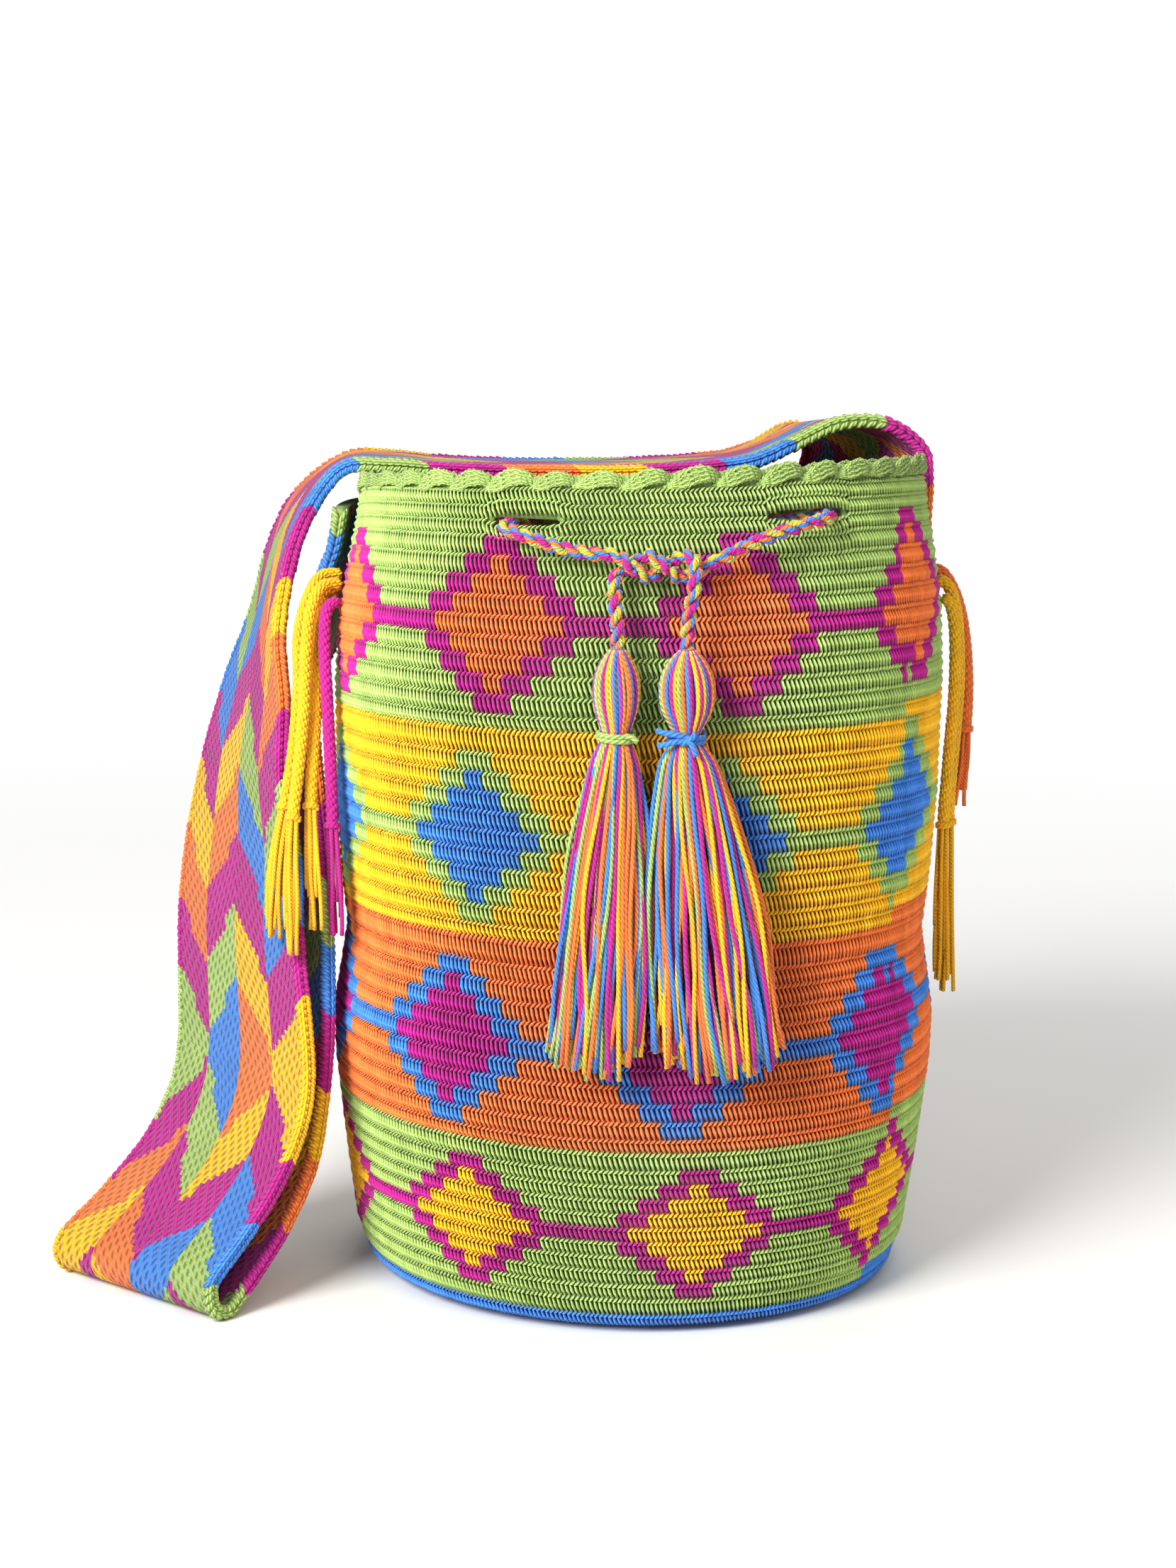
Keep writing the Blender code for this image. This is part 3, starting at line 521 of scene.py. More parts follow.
def woven_pits(tree, place):
    """Strands with painted shade in the pits between them, on a map in stitches along and across the
    band.
    """
    parts = add_node(tree, "ShaderNodeSeparateXYZ", None, {"Vector": place})
    column = add_node(tree, "ShaderNodeMath", {"operation": "FLOOR"}, {0: parts.outputs["Y"]})
    # Columns are half a stitch out of step, as bricks are
    step = add_node(tree, "ShaderNodeMath", {"operation": "MULTIPLY_ADD"}, {
        0: column.outputs["Value"], 1: 0.5, 2: parts.outputs["X"]})
    waves = []
    for value in (step.outputs["Value"], parts.outputs["Y"]):
        share = add_node(tree, "ShaderNodeMath", {"operation": "FRACT"}, {0: value})
        turn = add_node(tree, "ShaderNodeMath", {"operation": "MULTIPLY"}, {
            0: share.outputs["Value"], 1: math.pi})
        waves.append(add_node(tree, "ShaderNodeMath", {"operation": "SINE"}, {
            0: turn.outputs["Value"]}))
    narrow = add_node(tree, "ShaderNodeMath", {"operation": "POWER"}, {
        0: waves[1].outputs["Value"], 1: 2.0})
    middle = add_node(tree, "ShaderNodeMath", {"operation": "MULTIPLY"}, {
        0: waves[0].outputs["Value"], 1: narrow.outputs["Value"]})
    pit = add_node(tree, "ShaderNodeMath", {"operation": "POWER"}, {
        0: middle.outputs["Value"], 1: 1.7})
    strand = add_node(tree, "ShaderNodeMath", {"operation": "SUBTRACT"}, {
        0: 1.0, 1: pit.outputs["Value"]})
    # Fine plies across each strand
    ply = plies(0.3, 1.5)(tree, place)
    return add_node(tree, "ShaderNodeMath", {"operation": "MULTIPLY_ADD"}, {
        0: ply, 1: 0.2, 2: strand.outputs["Value"]}).outputs["Value"]


def stitch_mesh():
    """One crochet stitch: two strands of the chain over two posts that lean the other way.

    Points in millimetres along the round, up and outward. Three sides are enough at this size.
    """
    bundle = YarnBundle()
    for x in (-0.95, 0.85):
        chain = [(x - 1.15, 1.4, 0.5), (x, 2.5, 1.45), (x + 1.15, 3.5, 0.5)]
        bundle.add(np.array(chain) * MM, np.array([0.5, 0.75, 0.5]) * MM, WHITE, 3)
        post = [(x - 0.9, 2.0, 0.6), (x - 0.05, -0.6, 1.3), (x + 0.9, -3.4, 0.6)]
        bundle.add(np.array(post) * MM, np.array([0.65, 0.95, 0.65]) * MM, WHITE, 3)
    return bundle.mesh("stitch")


def scatter_tree(name, lean, size_spread):
    """Geometry Nodes: sets one shape on each point, turned by the point's own directions."""
    tree = bpy.data.node_groups.new(name, "GeometryNodeTree")
    for label, kind in (("Geometry", "NodeSocketGeometry"), ("Shape", "NodeSocketObject"),
                        ("Finish", "NodeSocketMaterial"), ("Lean", "NodeSocketFloat"),
                        ("Size Spread", "NodeSocketFloat"), ("Seed", "NodeSocketInt")):
        tree.interface.new_socket(label, in_out="INPUT", socket_type=kind)
    tree.interface.new_socket("Geometry", in_out="OUTPUT", socket_type="NodeSocketGeometry")
    given = add_node(tree, "NodeGroupInput")
    outward, along, size = [
        add_node(tree, "GeometryNodeInputNamedAttribute", {"data_type": "FLOAT_VECTOR"},
                 {"Name": label}) for label in ("outward", "along", "size")]
    facing = add_node(tree, "FunctionNodeAxesToRotation",
                      {"primary_axis": "Z", "secondary_axis": "X"},
                      {"Primary Axis": outward.outputs["Attribute"],
                       "Secondary Axis": along.outputs["Attribute"]})
    less = add_node(tree, "ShaderNodeMath", {"operation": "MULTIPLY"}, {
        0: given.outputs["Lean"], 1: -1.0})
    lean_by = add_node(tree, "FunctionNodeRandomValue", {"data_type": "FLOAT"}, {
        2: less.outputs["Value"], 3: given.outputs["Lean"], "Seed": given.outputs["Seed"]})
    tilt = add_node(tree, "FunctionNodeAxisAngleToRotation", None, {
        "Axis": (0.0, 0.0, 1.0), "Angle": lean_by.outputs[1]})
    turned = add_node(tree, "FunctionNodeRotateRotation", {"rotation_space": "LOCAL"}, {
        0: facing.outputs["Rotation"], 1: tilt.outputs["Rotation"]})
    small = add_node(tree, "ShaderNodeMath", {"operation": "SUBTRACT"}, {
        0: 1.0, 1: given.outputs["Size Spread"]})
    large = add_node(tree, "ShaderNodeMath", {"operation": "ADD"}, {
        0: 1.0, 1: given.outputs["Size Spread"]})
    size_by = add_node(tree, "FunctionNodeRandomValue", {"data_type": "FLOAT"}, {
        2: small.outputs["Value"], 3: large.outputs["Value"], "Seed": 5})
    scaled = add_node(tree, "ShaderNodeVectorMath", {"operation": "SCALE"}, {
        0: size.outputs["Attribute"], "Scale": size_by.outputs[1]})
    shape = add_node(tree, "GeometryNodeObjectInfo", None, {"Object": given.outputs["Shape"]})
    copies = add_node(tree, "GeometryNodeInstanceOnPoints", None, {
        "Points": given.outputs["Geometry"], "Instance": shape.outputs["Geometry"],
        "Rotation": turned.outputs["Rotation"], "Scale": scaled.outputs["Vector"]})
    real = add_node(tree, "GeometryNodeRealizeInstances", None, {
        "Geometry": copies.outputs["Instances"]})
    finish = add_node(tree, "GeometryNodeSetMaterial", None, {
        "Geometry": real.outputs["Geometry"], "Material": given.outputs["Finish"]})
    add_node(tree, "NodeGroupOutput", None, {"Geometry": finish.outputs["Geometry"]})
    defaults = {"Lean": lean, "Size Spread": size_spread, "Seed": 3}
    for item in tree.interface.items_tree:
        if item.name in defaults:
            item.default_value = defaults[item.name]
    return tree


def scatter(name, tree, shape, material, places):
    """Runs the tree on points with their directions, sizes and colours. Returns a plain mesh."""
    points, along, outward, sizes, colors = (np.array(part, np.float32) for part in zip(*places))
    mesh = bpy.data.meshes.new(name + "_places")
    mesh.from_pydata(points.tolist(), [], [])
    for label, values in (("along", along), ("outward", outward), ("size", sizes)):
        attribute = mesh.attributes.new(label, "FLOAT_VECTOR", "POINT")
        attribute.data.foreach_set("vector", values.ravel())
    attribute = mesh.attributes.new("yarn", "FLOAT_COLOR", "POINT")
    attribute.data.foreach_set("color", colors.ravel())
    host = bpy.data.objects.new(name + "_places", mesh)
    bpy.context.scene.collection.objects.link(host)
    modifier = host.modifiers.new("scatter", "NODES")
    modifier.node_group = tree
    given = {"Shape": shape, "Finish": material}
    for item in tree.interface.items_tree:
        if item.item_type == "SOCKET" and item.in_out == "INPUT" and item.name in given:
            modifier[item.identifier] = given[item.name]
    graph = bpy.context.evaluated_depsgraph_get()
    made = bpy.data.meshes.new_from_object(host.evaluated_get(graph))
    made.name = name
    bpy.data.objects.remove(host, do_unlink=True)
    for label in ("along", "outward", "size"):
        if label in made.attributes:
            made.attributes.remove(made.attributes[label])
    made.shade_smooth()
    return made


def hidden_shape(mesh):
    """An object that only the trees read. It is in no collection, so it isn't a piece.

    It has no colour of its own, so that each copy takes the colour of its point.
    """
    mesh.attributes.remove(mesh.attributes["yarn"])
    return bpy.data.objects.new(mesh.name, mesh)


def varied(color, spread=0.06):
    """A yarn colour with a slight change of tone."""
    tone = 1.0 + spread * LUCK.standard_normal()
    return tuple(min(1.0, c * tone) for c in color[:3]) + (1.0,)


def eyelet_shift(row, turn):
    """How far a round is pushed up or down at an angle, to leave the eyelets' slits open."""
    shift = 0.0
    for angle, half_width in EYELETS:
        across = ((math.degrees(turn) - angle + 180) % 360 - 180) / half_width
        if abs(across) < SLIT_REACH:
            rows_above = eyelet_row(angle) - row - 0.5
            opening = SLIT_HALF * (1 - min(1.0, abs(across / SLIT_REACH)) ** 4)
            shift += math.copysign(opening, rows_above) * math.exp(-(abs(rows_above) - 0.5) / 1.2)
    return shift


def eyelet_row(angle):
    """The boundary between two rounds that opens as the slit of an eyelet."""
    column = (angle - SEAM_ANGLE) % 360 / 360 * STITCHES_ROUND
    turn = math.radians(angle)
    middle = rim_height(turn) - EYELET_DROP
    rows = np.arange(1, 6)
    heights = wall_point(turn, spiral_height(rows, column))[:, 2]
    return int(rows[np.argmin(abs(heights - middle))])


def stitch_places(first_row, end_row):
    """Where each stitch of some rounds sits on the wall, and how it is turned and coloured."""
    places = []
    for row in range(first_row, end_row):
        for column in range(STITCHES_ROUND):
            turn = column_turn(column + 0.5)
            upper, lower = spiral_height(row, column + 0.5), spiral_height(row + 1, column + 0.5)
            middle = (upper + lower) / 2
            if lower < 0.001 or upper > EDGING_FOOT + 0.002:
                continue
            point = wall_point(turn, middle, 1.2 * MM)
            point[2] += eyelet_shift(row, turn)
            sideways = wall_point(column_turn(column + 1.0), spiral_height(row + 0.5, column + 1.0))
            back = wall_point(column_turn(column), spiral_height(row + 0.5, column))
            along = sideways - back
            rise = wall_point(turn, upper) - wall_point(turn, lower)
            outward = np.cross(along, rise)
            size = (np.linalg.norm(along) / STITCH_WIDTH, np.linalg.norm(rise) / STITCH_HEIGHT, 1.0)
            places.append((point, unit(along), unit(outward), size,
                           varied(YARN[pattern_color(row, turn)])))
    return places


def body_grid():
    """The wall behind the stitches: rings of points from the mouth's lip down and under."""
    columns = np.arange(STITCHES_ROUND)
    rings = []
    for row in range(-1, ROUNDS + 2):
        heights = np.clip(spiral_height(row, columns), 1.2 * MM, WALL_TOP)
        rings.append(wall_point(column_turn(columns), heights, WALL_INSET))
    return rings


def body_shell_mesh():
    """A closed shell: outside, underside, ridged inside and lip, coloured as the rounds are and
    darkened as painted shade.
    """
    turns = column_turn(np.arange(STITCHES_ROUND))
    soft = bmesh.new()
    paint = soft.verts.layers.float_color.new("yarn")
    outside = [[soft.verts.new(p) for p in ring] for ring in body_grid()]
    for row, ring in enumerate(outside, -1):
        for column, vert in enumerate(ring):
            name = pattern_color(min(row, ROUNDS - 1), column_turn(column + 0.5))
            # Painted shade: the outside, seen between the stitches, takes the round's colour
            # darkened
            vert[paint] = shade_of(name, OUTSIDE_SHADE)

    def bridge(upper, lower):
        for k in range(STITCHES_ROUND):
            a, b = upper[k], upper[(k + 1) % STITCHES_ROUND]
            c, d = lower[(k + 1) % STITCHES_ROUND], lower[k]
            soft.faces.new((a, d, c, b))

    for row in range(len(outside) - 1):
        upper, lower = outside[row], outside[row + 1]
        after = outside[row + 2] if row + 2 < len(outside) else lower
        for k in range(STITCHES_ROUND - 1):
            soft.faces.new((upper[k], lower[k], lower[k + 1], upper[k + 1]))
        corners = (upper[-1], lower[-1], after[0], lower[0])
        if len(set(corners)) == 4:
            soft.faces.new(corners)

    def add_ring(points, color):
        ring = [soft.verts.new(p) for p in points]
        for vert in ring:
            vert[paint] = color
        return ring

    def wall_ring(height, inset, name, shade):
        return add_ring(wall_point(turns, height, inset), shade_of(name, shade))

    def add_disc(last, radius, groove, ridge, down):
        """A round face in rounds from its edge to the middle."""
        rings = 2 * BASE_ROUNDS
        for number in range(rings):
            out = radius * (1 - (number + 0.5) / rings)
            # Painted shade: the grooves of the round face are darker than its ridges
            height, shade = (ridge, 1.0) if number % 2 else (groove, 0.5)
            points = np.stack([out * np.sin(turns), -out * np.cos(turns),
                               np.full(turns.shape, height)], axis=-1)
            ring = add_ring(points, shade_of("blue", shade))
            bridge(*((last, ring) if down else (ring, last)))
            last = ring
        soft.faces.new(list(reversed(last)) if down else last)

    add_disc(outside[-1], UNDERSIDE_RADIUS, 1.1 * MM, 0.2 * MM, down=True)
    # The lip and the inside, ridged by its rounds, with a little painted shade on the lip and more
    # in the grooves
    last = outside[0]
    for inset, height in LIP:
        ring = wall_ring(height, inset, "green", 0.8)
        bridge(ring, last)
        last = ring
    for row in range(1, ROUNDS - 1):
        for share, extra, shade in ((0.45, 0.5 * MM, RIDGE_SHADE), (0.98, -0.5 * MM, GROOVE_SHADE)):
            ring = wall_ring(round_height(row + share), WALL + extra, ground_of(row), shade)
            bridge(ring, last)
            last = ring
    add_disc(last, FLOOR_RADIUS, WALL, WALL + 0.5 * MM, down=False)
    bmesh.ops.remove_doubles(soft, verts=soft.verts, dist=0.01 * MM)
    bmesh.ops.recalc_face_normals(soft, faces=soft.faces)
    layer = soft.loops.layers.uv.new("UVMap")
    for face in soft.faces:
        middle = face.calc_center_median()
        center = math.atan2(middle.x, -middle.y)
        for loop in face.loops:
            spot = loop.vert.co
            turn = math.atan2(spot.x, -spot.y)
            turn -= 2 * math.pi * round((turn - center) / (2 * math.pi))
            loop[layer].uv = (turn * 105, 0.16 * spot.z / MM)
    mesh = bpy.data.meshes.new("bag_wall")
    soft.to_mesh(mesh)
    soft.free()
    mesh.shade_smooth()
    return mesh


def ground_of(row):
    """The ground colour of a round."""
    for band in BANDS:
        if row < band[1]:
            return band[4]
        row -= band[1]
    return BANDS[-1][4]


def eyelet_cutters():
    made = []
    for angle, half_width in EYELETS:
        turn = math.radians(angle)
        radius = WALL_PROFILE[-2][1]
        middle = Vector((radius * math.sin(turn), -radius * math.cos(turn),
                         float(rim_height(turn)) - EYELET_DROP))
        soft = bmesh.new()
        bmesh.ops.create_cone(soft, cap_ends=True, segments=24, radius1=EYELET_HEIGHT / 2,
                              radius2=EYELET_HEIGHT / 2, depth=8 * WALL)
        stretch = math.radians(half_width) * radius - EYELET_HEIGHT / 2
        for vert in soft.verts:
            vert.co.x += stretch if vert.co.x > 0 else -stretch
        soft.transform(Matrix.Translation(middle) @ Matrix.Rotation(turn, 4, "Z")
                       @ Matrix.Rotation(math.pi / 2, 4, "X"))
        mesh = bpy.data.meshes.new("eyelet_cutter")
        soft.to_mesh(mesh)
        soft.free()
        cutter = bpy.data.objects.new("eyelet_cutter", mesh)
        bpy.context.scene.collection.objects.link(cutter)
        made.append(cutter)
    return made


def make_body_shell(material):
    """The wall behind the stitches, with the drawstring's eyelets cut through it."""
    mesh = body_shell_mesh()
    shell = bpy.data.objects.new("bag_wall_raw", mesh)
    bpy.context.scene.collection.objects.link(shell)
    cutters = eyelet_cutters()
    for cutter in cutters:
        cut = shell.modifiers.new("eyelet", "BOOLEAN")
        cut.operation = "DIFFERENCE"
        cut.object = cutter
        cut.solver = "EXACT"
    graph = bpy.context.evaluated_depsgraph_get()
    made = bpy.data.meshes.new_from_object(shell.evaluated_get(graph))
    made.name = "bag_wall"
    for helper in [shell] + cutters:
        bpy.data.objects.remove(helper, do_unlink=True)
    # The cut faces come out white, and take the green of the wall in deep painted shade, for the
    # shade inside the eyelets
    for paint in made.attributes["yarn"].data:
        if min(paint.color) > 0.95:
            paint.color = shade_of("green", CUT_SHADE)
    return new_piece(made, material, "crochet_yarn", "bag_body")


def plied(bundle, line, radius, lay):
    """Adds a yarn of two plies wound round each other."""
    for start in (0.0, math.pi):
        bundle.add(twisted(line, 0.5 * radius, lay, start), 0.62 * radius, WHITE, 4)


def lobe_mesh():
    """One lobe of the edging: plied strands that rise from the rim, swell and tuck in again."""
    bundle = YarnBundle()
    for number in range(4):
        drop = 1.45 * number
        sweep = [(-9.0, -0.2 - 0.3 * number, -0.8), (-6.4, 1.2 - 0.5 * number, 0.7),
                 (-3.2, 4.0 - drop, 1.2 + 0.25 * number), (1.0, 5.4 - drop, 1.5 + 0.3 * number),
                 (4.4, 5.0 - 1.2 * number, 1.2 + 0.2 * number), (6.8, 3.4 - 0.8 * number, -0.1),
                 (7.8, 1.4 - 0.5 * number, -1.8)]
        plied(bundle, smooth_through(sweep, 3) * MM, 1.2 * MM, 3.4 * MM)
    # The same strands seen from inside the mouth, over the lip
    for height in (4.3, 2.4):
        inner = [(-9.5, 0.4, -1.2), (-4.5, height - 0.8, -2.6), (1.0, height, -3.4),
                 (5.5, height - 0.8, -3.0), (8.5, 1.0, -1.6)]
        plied(bundle, smooth_through(inner, 4) * MM, 1.2 * MM, 3.4 * MM)
    return bundle.mesh("edging_lobe")


def lobe_places():
    places = []
    for number in range(LOBES):
        turn = math.radians(number * 360.0 / LOBES)
        point = wall_point(turn, EDGING_FOOT + 0.8 * MM, 1.4 * MM)
        ahead = wall_point(turn + 0.02, EDGING_FOOT) - wall_point(turn - 0.02, EDGING_FOOT)
        outward = np.array([math.sin(turn), -math.cos(turn), 0.0])
        outward = unit(outward - unit(ahead) * outward.dot(unit(ahead)))
        places.append((point, unit(ahead), outward, (1.0, 0.92, 0.95), varied(YARN["green"])))
    return places


def make_body(stitch_yarn, edging_yarn, wall_yarn):
    make_body_shell(wall_yarn)
    tree = scatter_tree("crochet_rounds", lean=0.045, size_spread=0.035)
    shape = hidden_shape(stitch_mesh())
    for name, *_ in BANDS:
        mesh = scatter("bag_stitches_" + name, tree, shape, stitch_yarn,
                       stitch_places(*band_rows(name)))
        new_piece(mesh, stitch_yarn, "crochet_yarn", "bag_body")
    lobe_tree = scatter_tree("edging_lobes", lean=0.09, size_spread=0.10)
    mesh = scatter("bag_edging", lobe_tree, hidden_shape(lobe_mesh()), edging_yarn, lobe_places())
    new_piece(mesh, edging_yarn, "crochet_yarn", "bag_body")


def strap_rows(spacing):
    """Evenly spaced rows of the strap's middle line with its width directions and curl."""
    return evenly(smooth_through(in_metres(STRAP_STATIONS), 12), spacing)


def strap_frames(rows):
    """Middle, width direction, face direction and curl of each row."""
    ahead = unit(np.gradient(rows[:, :3], axis=0))
    turn, droop = np.radians(rows[:, 3]), np.radians(rows[:, 4])
    width = np.stack([-np.sin(turn) * np.cos(droop), np.cos(turn) * np.cos(droop),
                      -np.sin(droop)], axis=-1)
    ahead = unit(ahead - width * (ahead * width).sum(axis=1)[:, None])
    return rows[:, :3], width, np.cross(ahead, width), rows[:, 5] / STRAP_WALL_RADIUS


def strap_point(middle, width, face, bend, across, through):
    """A place in the band: distance across from its middle line, and through its thickness."""
    if abs(bend) > 0.01:
        along, rise = math.sin(bend * across) / bend, (1 - math.cos(bend * across)) / bend
    else:
        along, rise = across, 0.0
    return middle + width * along + face * (rise + through)


def stripe_slant(along, across):
    """1 or -1: which way the band's strands slant at a place along it and across it."""
    slant = -1 if int(across / STRIPE_COLUMN + 2) % 2 else 1
    return slant if along < STRIPE_MIRROR else -slant


def stripe_color(along, across):
    """Yarn of the band at a distance along it and across it, in whole stitches."""
    late = 0.5 * (int((across + STRAP_WIDTH / 2) / STRAP_CELL[1]) % 2)
    along = (math.floor(along / STRAP_CELL[0] - late) + late + 0.5) * STRAP_CELL[0]
    rise = STRIPE_RISE * abs(abs(across) / STRIPE_COLUMN - 1)
    # The last stitches at the mirror line keep their neighbours' colour
    count = max(-0.81, (abs(along - STRIPE_MIRROR) - rise) / STRIPE_LENGTH)
    phase = STRIPE_PHASES[int(across / STRIPE_COLUMN + 2)]
    return STRIPE_ORDER[int(count + phase) % len(STRIPE_ORDER)]


def make_strap_band(material):
    """The woven band: a closed loft whose face colours step from stitch to stitch."""
    rows = strap_rows(STRAP_CELL[0] / 2)
    middle, width, face, bend = strap_frames(rows)
    half, thick = STRAP_WIDTH / 2 - BAND_INSET[0], STRAP_THICKNESS / 2 - BAND_INSET[1]
    across = np.linspace(-half, half, BAND_COLUMNS + 1)
    ring = [(a, -thick) for a in across] + [(a, thick) for a in across[::-1]]
    soft = bmesh.new()
    paint = soft.loops.layers.float_color.new("yarn")
    layer = soft.loops.layers.uv.new("UVMap")
    loops = [[soft.verts.new(strap_point(m, w, f, b, a, t)) for a, t in ring]
             for m, w, f, b in zip(middle, width, face, bend)]
    far = lengths_along(rows)
    size = len(ring)
    for i in range(len(loops) - 1):
        for k in range(size):
            j = (k + 1) % size
            made = soft.faces.new((loops[i][k], loops[i + 1][k], loops[i + 1][j], loops[i][j]))
            # A hair toward the middle, so that the band's side faces take their own column
            inside = (ring[k][0] + ring[j][0]) / 2 * 0.999
            here = (far[i] + far[i + 1]) / 2
            color = YARN[stripe_color(here, inside)]
            slant = STRAND_SLANT * stripe_slant(here, inside)
            for loop, (row, place) in zip(made.loops, ((i, k), (i + 1, k), (i + 1, j), (i, j))):
                loop[paint] = color
                loop[layer].uv = (far[row] / STRAP_CELL[0],
                                  (ring[place][0] - slant * far[row]) / STRAP_CELL[1])
    for end in (list(reversed(loops[-1])), loops[0]):
        for loop in soft.faces.new(end).loops:
            loop[paint] = YARN["green"]
    bmesh.ops.recalc_face_normals(soft, faces=soft.faces)
    mesh = bpy.data.meshes.new("strap_band")
    soft.to_mesh(mesh)
    soft.free()
    mesh.shade_smooth()
    band = new_piece(mesh, material, "woven_yarn", "shoulder_strap")
    return band, far[-1]


def braid_mesh():
    """One V of the herringbone along the strap's edge: two fat strands that meet in a point."""
    bundle = YarnBundle()
    for side in (-1, 1):
        strand = [(2.6, side * 2.9, -1.6), (1.2, side * 2.1, 0.2), (-0.8, side * 1.0, 0.9),
                  (-2.4, side * 0.1, 0.2)]
        bundle.add(np.array(strand) * MM, np.array([0.7, 1.15, 1.15, 0.6]) * MM, WHITE, 6)
    return bundle.mesh("edge_braid")


def make_strap_edges(material):
    """The braided edges, on both sides of the band."""
    rows = strap_rows(BRAID_PITCH)
    middle, width, face, bend = strap_frames(rows)
    far = lengths_along(rows)
    places = []
    for side in (-1, 1):
        edge = side * (STRAP_WIDTH / 2 - BRAID_INSET)
        line = np.array([strap_point(*row, edge, 0.0) for row in zip(middle, width, face, bend)])
        ahead = unit(np.gradient(line, axis=0))
        for i in range(1, len(line) - 1):
            outward = side * width[i] * math.cos(bend[i] * edge)
            outward = outward + side * face[i] * math.sin(bend[i] * edge)
            outward = unit(outward - ahead[i] * outward.dot(ahead[i]))
            color = YARN[stripe_color(far[i], edge)]
            places.append((line[i], ahead[i], outward, (1.0, 0.86, 1.0), varied(color)))
    tree = scatter_tree("edge_braid", lean=0.05, size_spread=0.04)
    mesh = scatter("strap_edges", tree, hidden_shape(braid_mesh()), material, places)
    return new_piece(mesh, material, "woven_yarn", "shoulder_strap")


def make_strap(band_weave, stitch_yarn):
    band, length = make_strap_band(band_weave)
    edges = make_strap_edges(stitch_yarn)


def braided_cord(name, path, start, material, *nodes):
    """Two strands laid together, each of four thin yarns in different colours."""
    bundle = YarnBundle()
    for strand, names in enumerate(CORD_STRANDS):
        begin = 2 * math.pi * start / CORD_LAY + strand * math.pi
        core = twisted(path, 1.35 * MM, CORD_LAY, begin)
        for number, color in enumerate(names):
            line = twisted(core, 0.72 * MM, -STRAND_LAY, number * math.pi / 2)
            bundle.add(line, 0.78 * MM, YARN[color], 5)
    return new_piece(bundle.mesh(name), material, "twisted_yarn", *nodes)


def make_drawstring(material):
    """The drawstring in three stretches: the loop round the bag and its two hanging ends."""
    left_core = [(TASSELS["left"][0], TASSEL_Y, z) for z in (CORE_END, TASSEL_NECK)]
    right_core = [(TASSELS["right"][0], TASSEL_Y, z) for z in (TASSEL_NECK, CORE_END)]
    route = np.vstack([left_core, in_metres(DRAWSTRING_ROUTE), right_core])
    fine = smooth_through(route, 16)
    far = lengths_along(fine)
    path = evenly(fine, 1.3 * MM)
    left_cut = far[(LEFT_END_ROWS + 2) * 16]
    right_cut = far[(len(DRAWSTRING_ROUTE) + 1 - RIGHT_END_ROWS) * 16]
    spots = lengths_along(path)
    left = int(np.searchsorted(spots, left_cut))
    right = int(np.searchsorted(spots, right_cut))
    ends = {
        "left": (path[:left + 1], 0.0),
        "right": (path[right:], spots[right]),
    }
    braided_cord("drawstring_round_bag", path[left:right + 1], spots[left], material, "drawstring")
    return {side: (braided_cord("drawstring_%s_end" % side, *facts, material, "drawstring"),
                   facts[0]) for side, facts in ends.items()}


def tassel_yarn(number, neck_x, hem_x, head_half, hem_half):
    """The line of one yarn: out of the cord, over the round head, through the neck, down."""
    turn = 2 * math.pi * number / TASSEL_YARNS + LUCK.normal(0, 0.05)
    layer = 1.0 - 0.28 * (number % 3) / 2
    head = TASSEL_TOP - TASSEL_NECK
    rows = [(TASSEL_TOP, neck_x, 1.6 * MM, 1.6 * MM, turn)]
    for share, swell in ((0.10, 0.52), (0.30, 0.90), (0.54, 1.0), (0.78, 0.88)):
        rows.append((TASSEL_TOP - share * head, neck_x, swell * head_half * layer,
                     swell * TASSEL_DEPTH * layer, turn + 0.25 * share))
    inner = (NECK_RADIUS - 0.8 * MM) * layer
    turn += 0.25
    rows.append((TASSEL_NECK - 0.4 * MM, neck_x, inner, inner, turn))
    rows.append((TASSEL_NECK - 4.4 * MM, neck_x, inner, inner, turn))
    drift, bow = LUCK.normal(0, 0.22), LUCK.normal(0, 1.8 * MM)
    wave, phase = LUCK.uniform(0.3, 1.5) * MM, LUCK.uniform(0, 6.3)
    top = TASSEL_NECK - 4.4 * MM
    end = TASSEL_HEM + 2.0 * MM + abs(LUCK.normal(0, 4.0 * MM)) + 9.0 * MM * math.cos(turn) ** 4
    for share in (0.06, 0.15, 0.26, 0.38, 0.52, 0.66, 0.82, 1.0):
        spread = NECK_RADIUS + (hem_half - NECK_RADIUS) * share ** 0.52
        middle = neck_x + (hem_x - neck_x) * share + bow * math.sin(3 * share)
        sway = wave * share ** 0.5 * math.sin(9 * share + phase)
        rows.append((top + (end - top) * share, middle + sway, spread * layer - 0.8 * MM,
                     (TASSEL_DEPTH - 0.8 * MM) * layer, turn + drift * share))
    points = [(middle + half_x * math.cos(angle), TASSEL_Y + half_y * math.sin(angle), height)
              for height, middle, half_x, half_y, angle in rows]
    return smooth_through(points, 2)


def tassel_color(number):
    """Colours that differ from one yarn to the next, with a few out of turn."""
    names = list(YARN)
    place = 2 * (number // 3) + (0, 1, 3)[number % 3]
    if LUCK.random() < 0.35:
        place = int(LUCK.integers(len(names)))
    return varied(YARN[names[place % len(names)]])


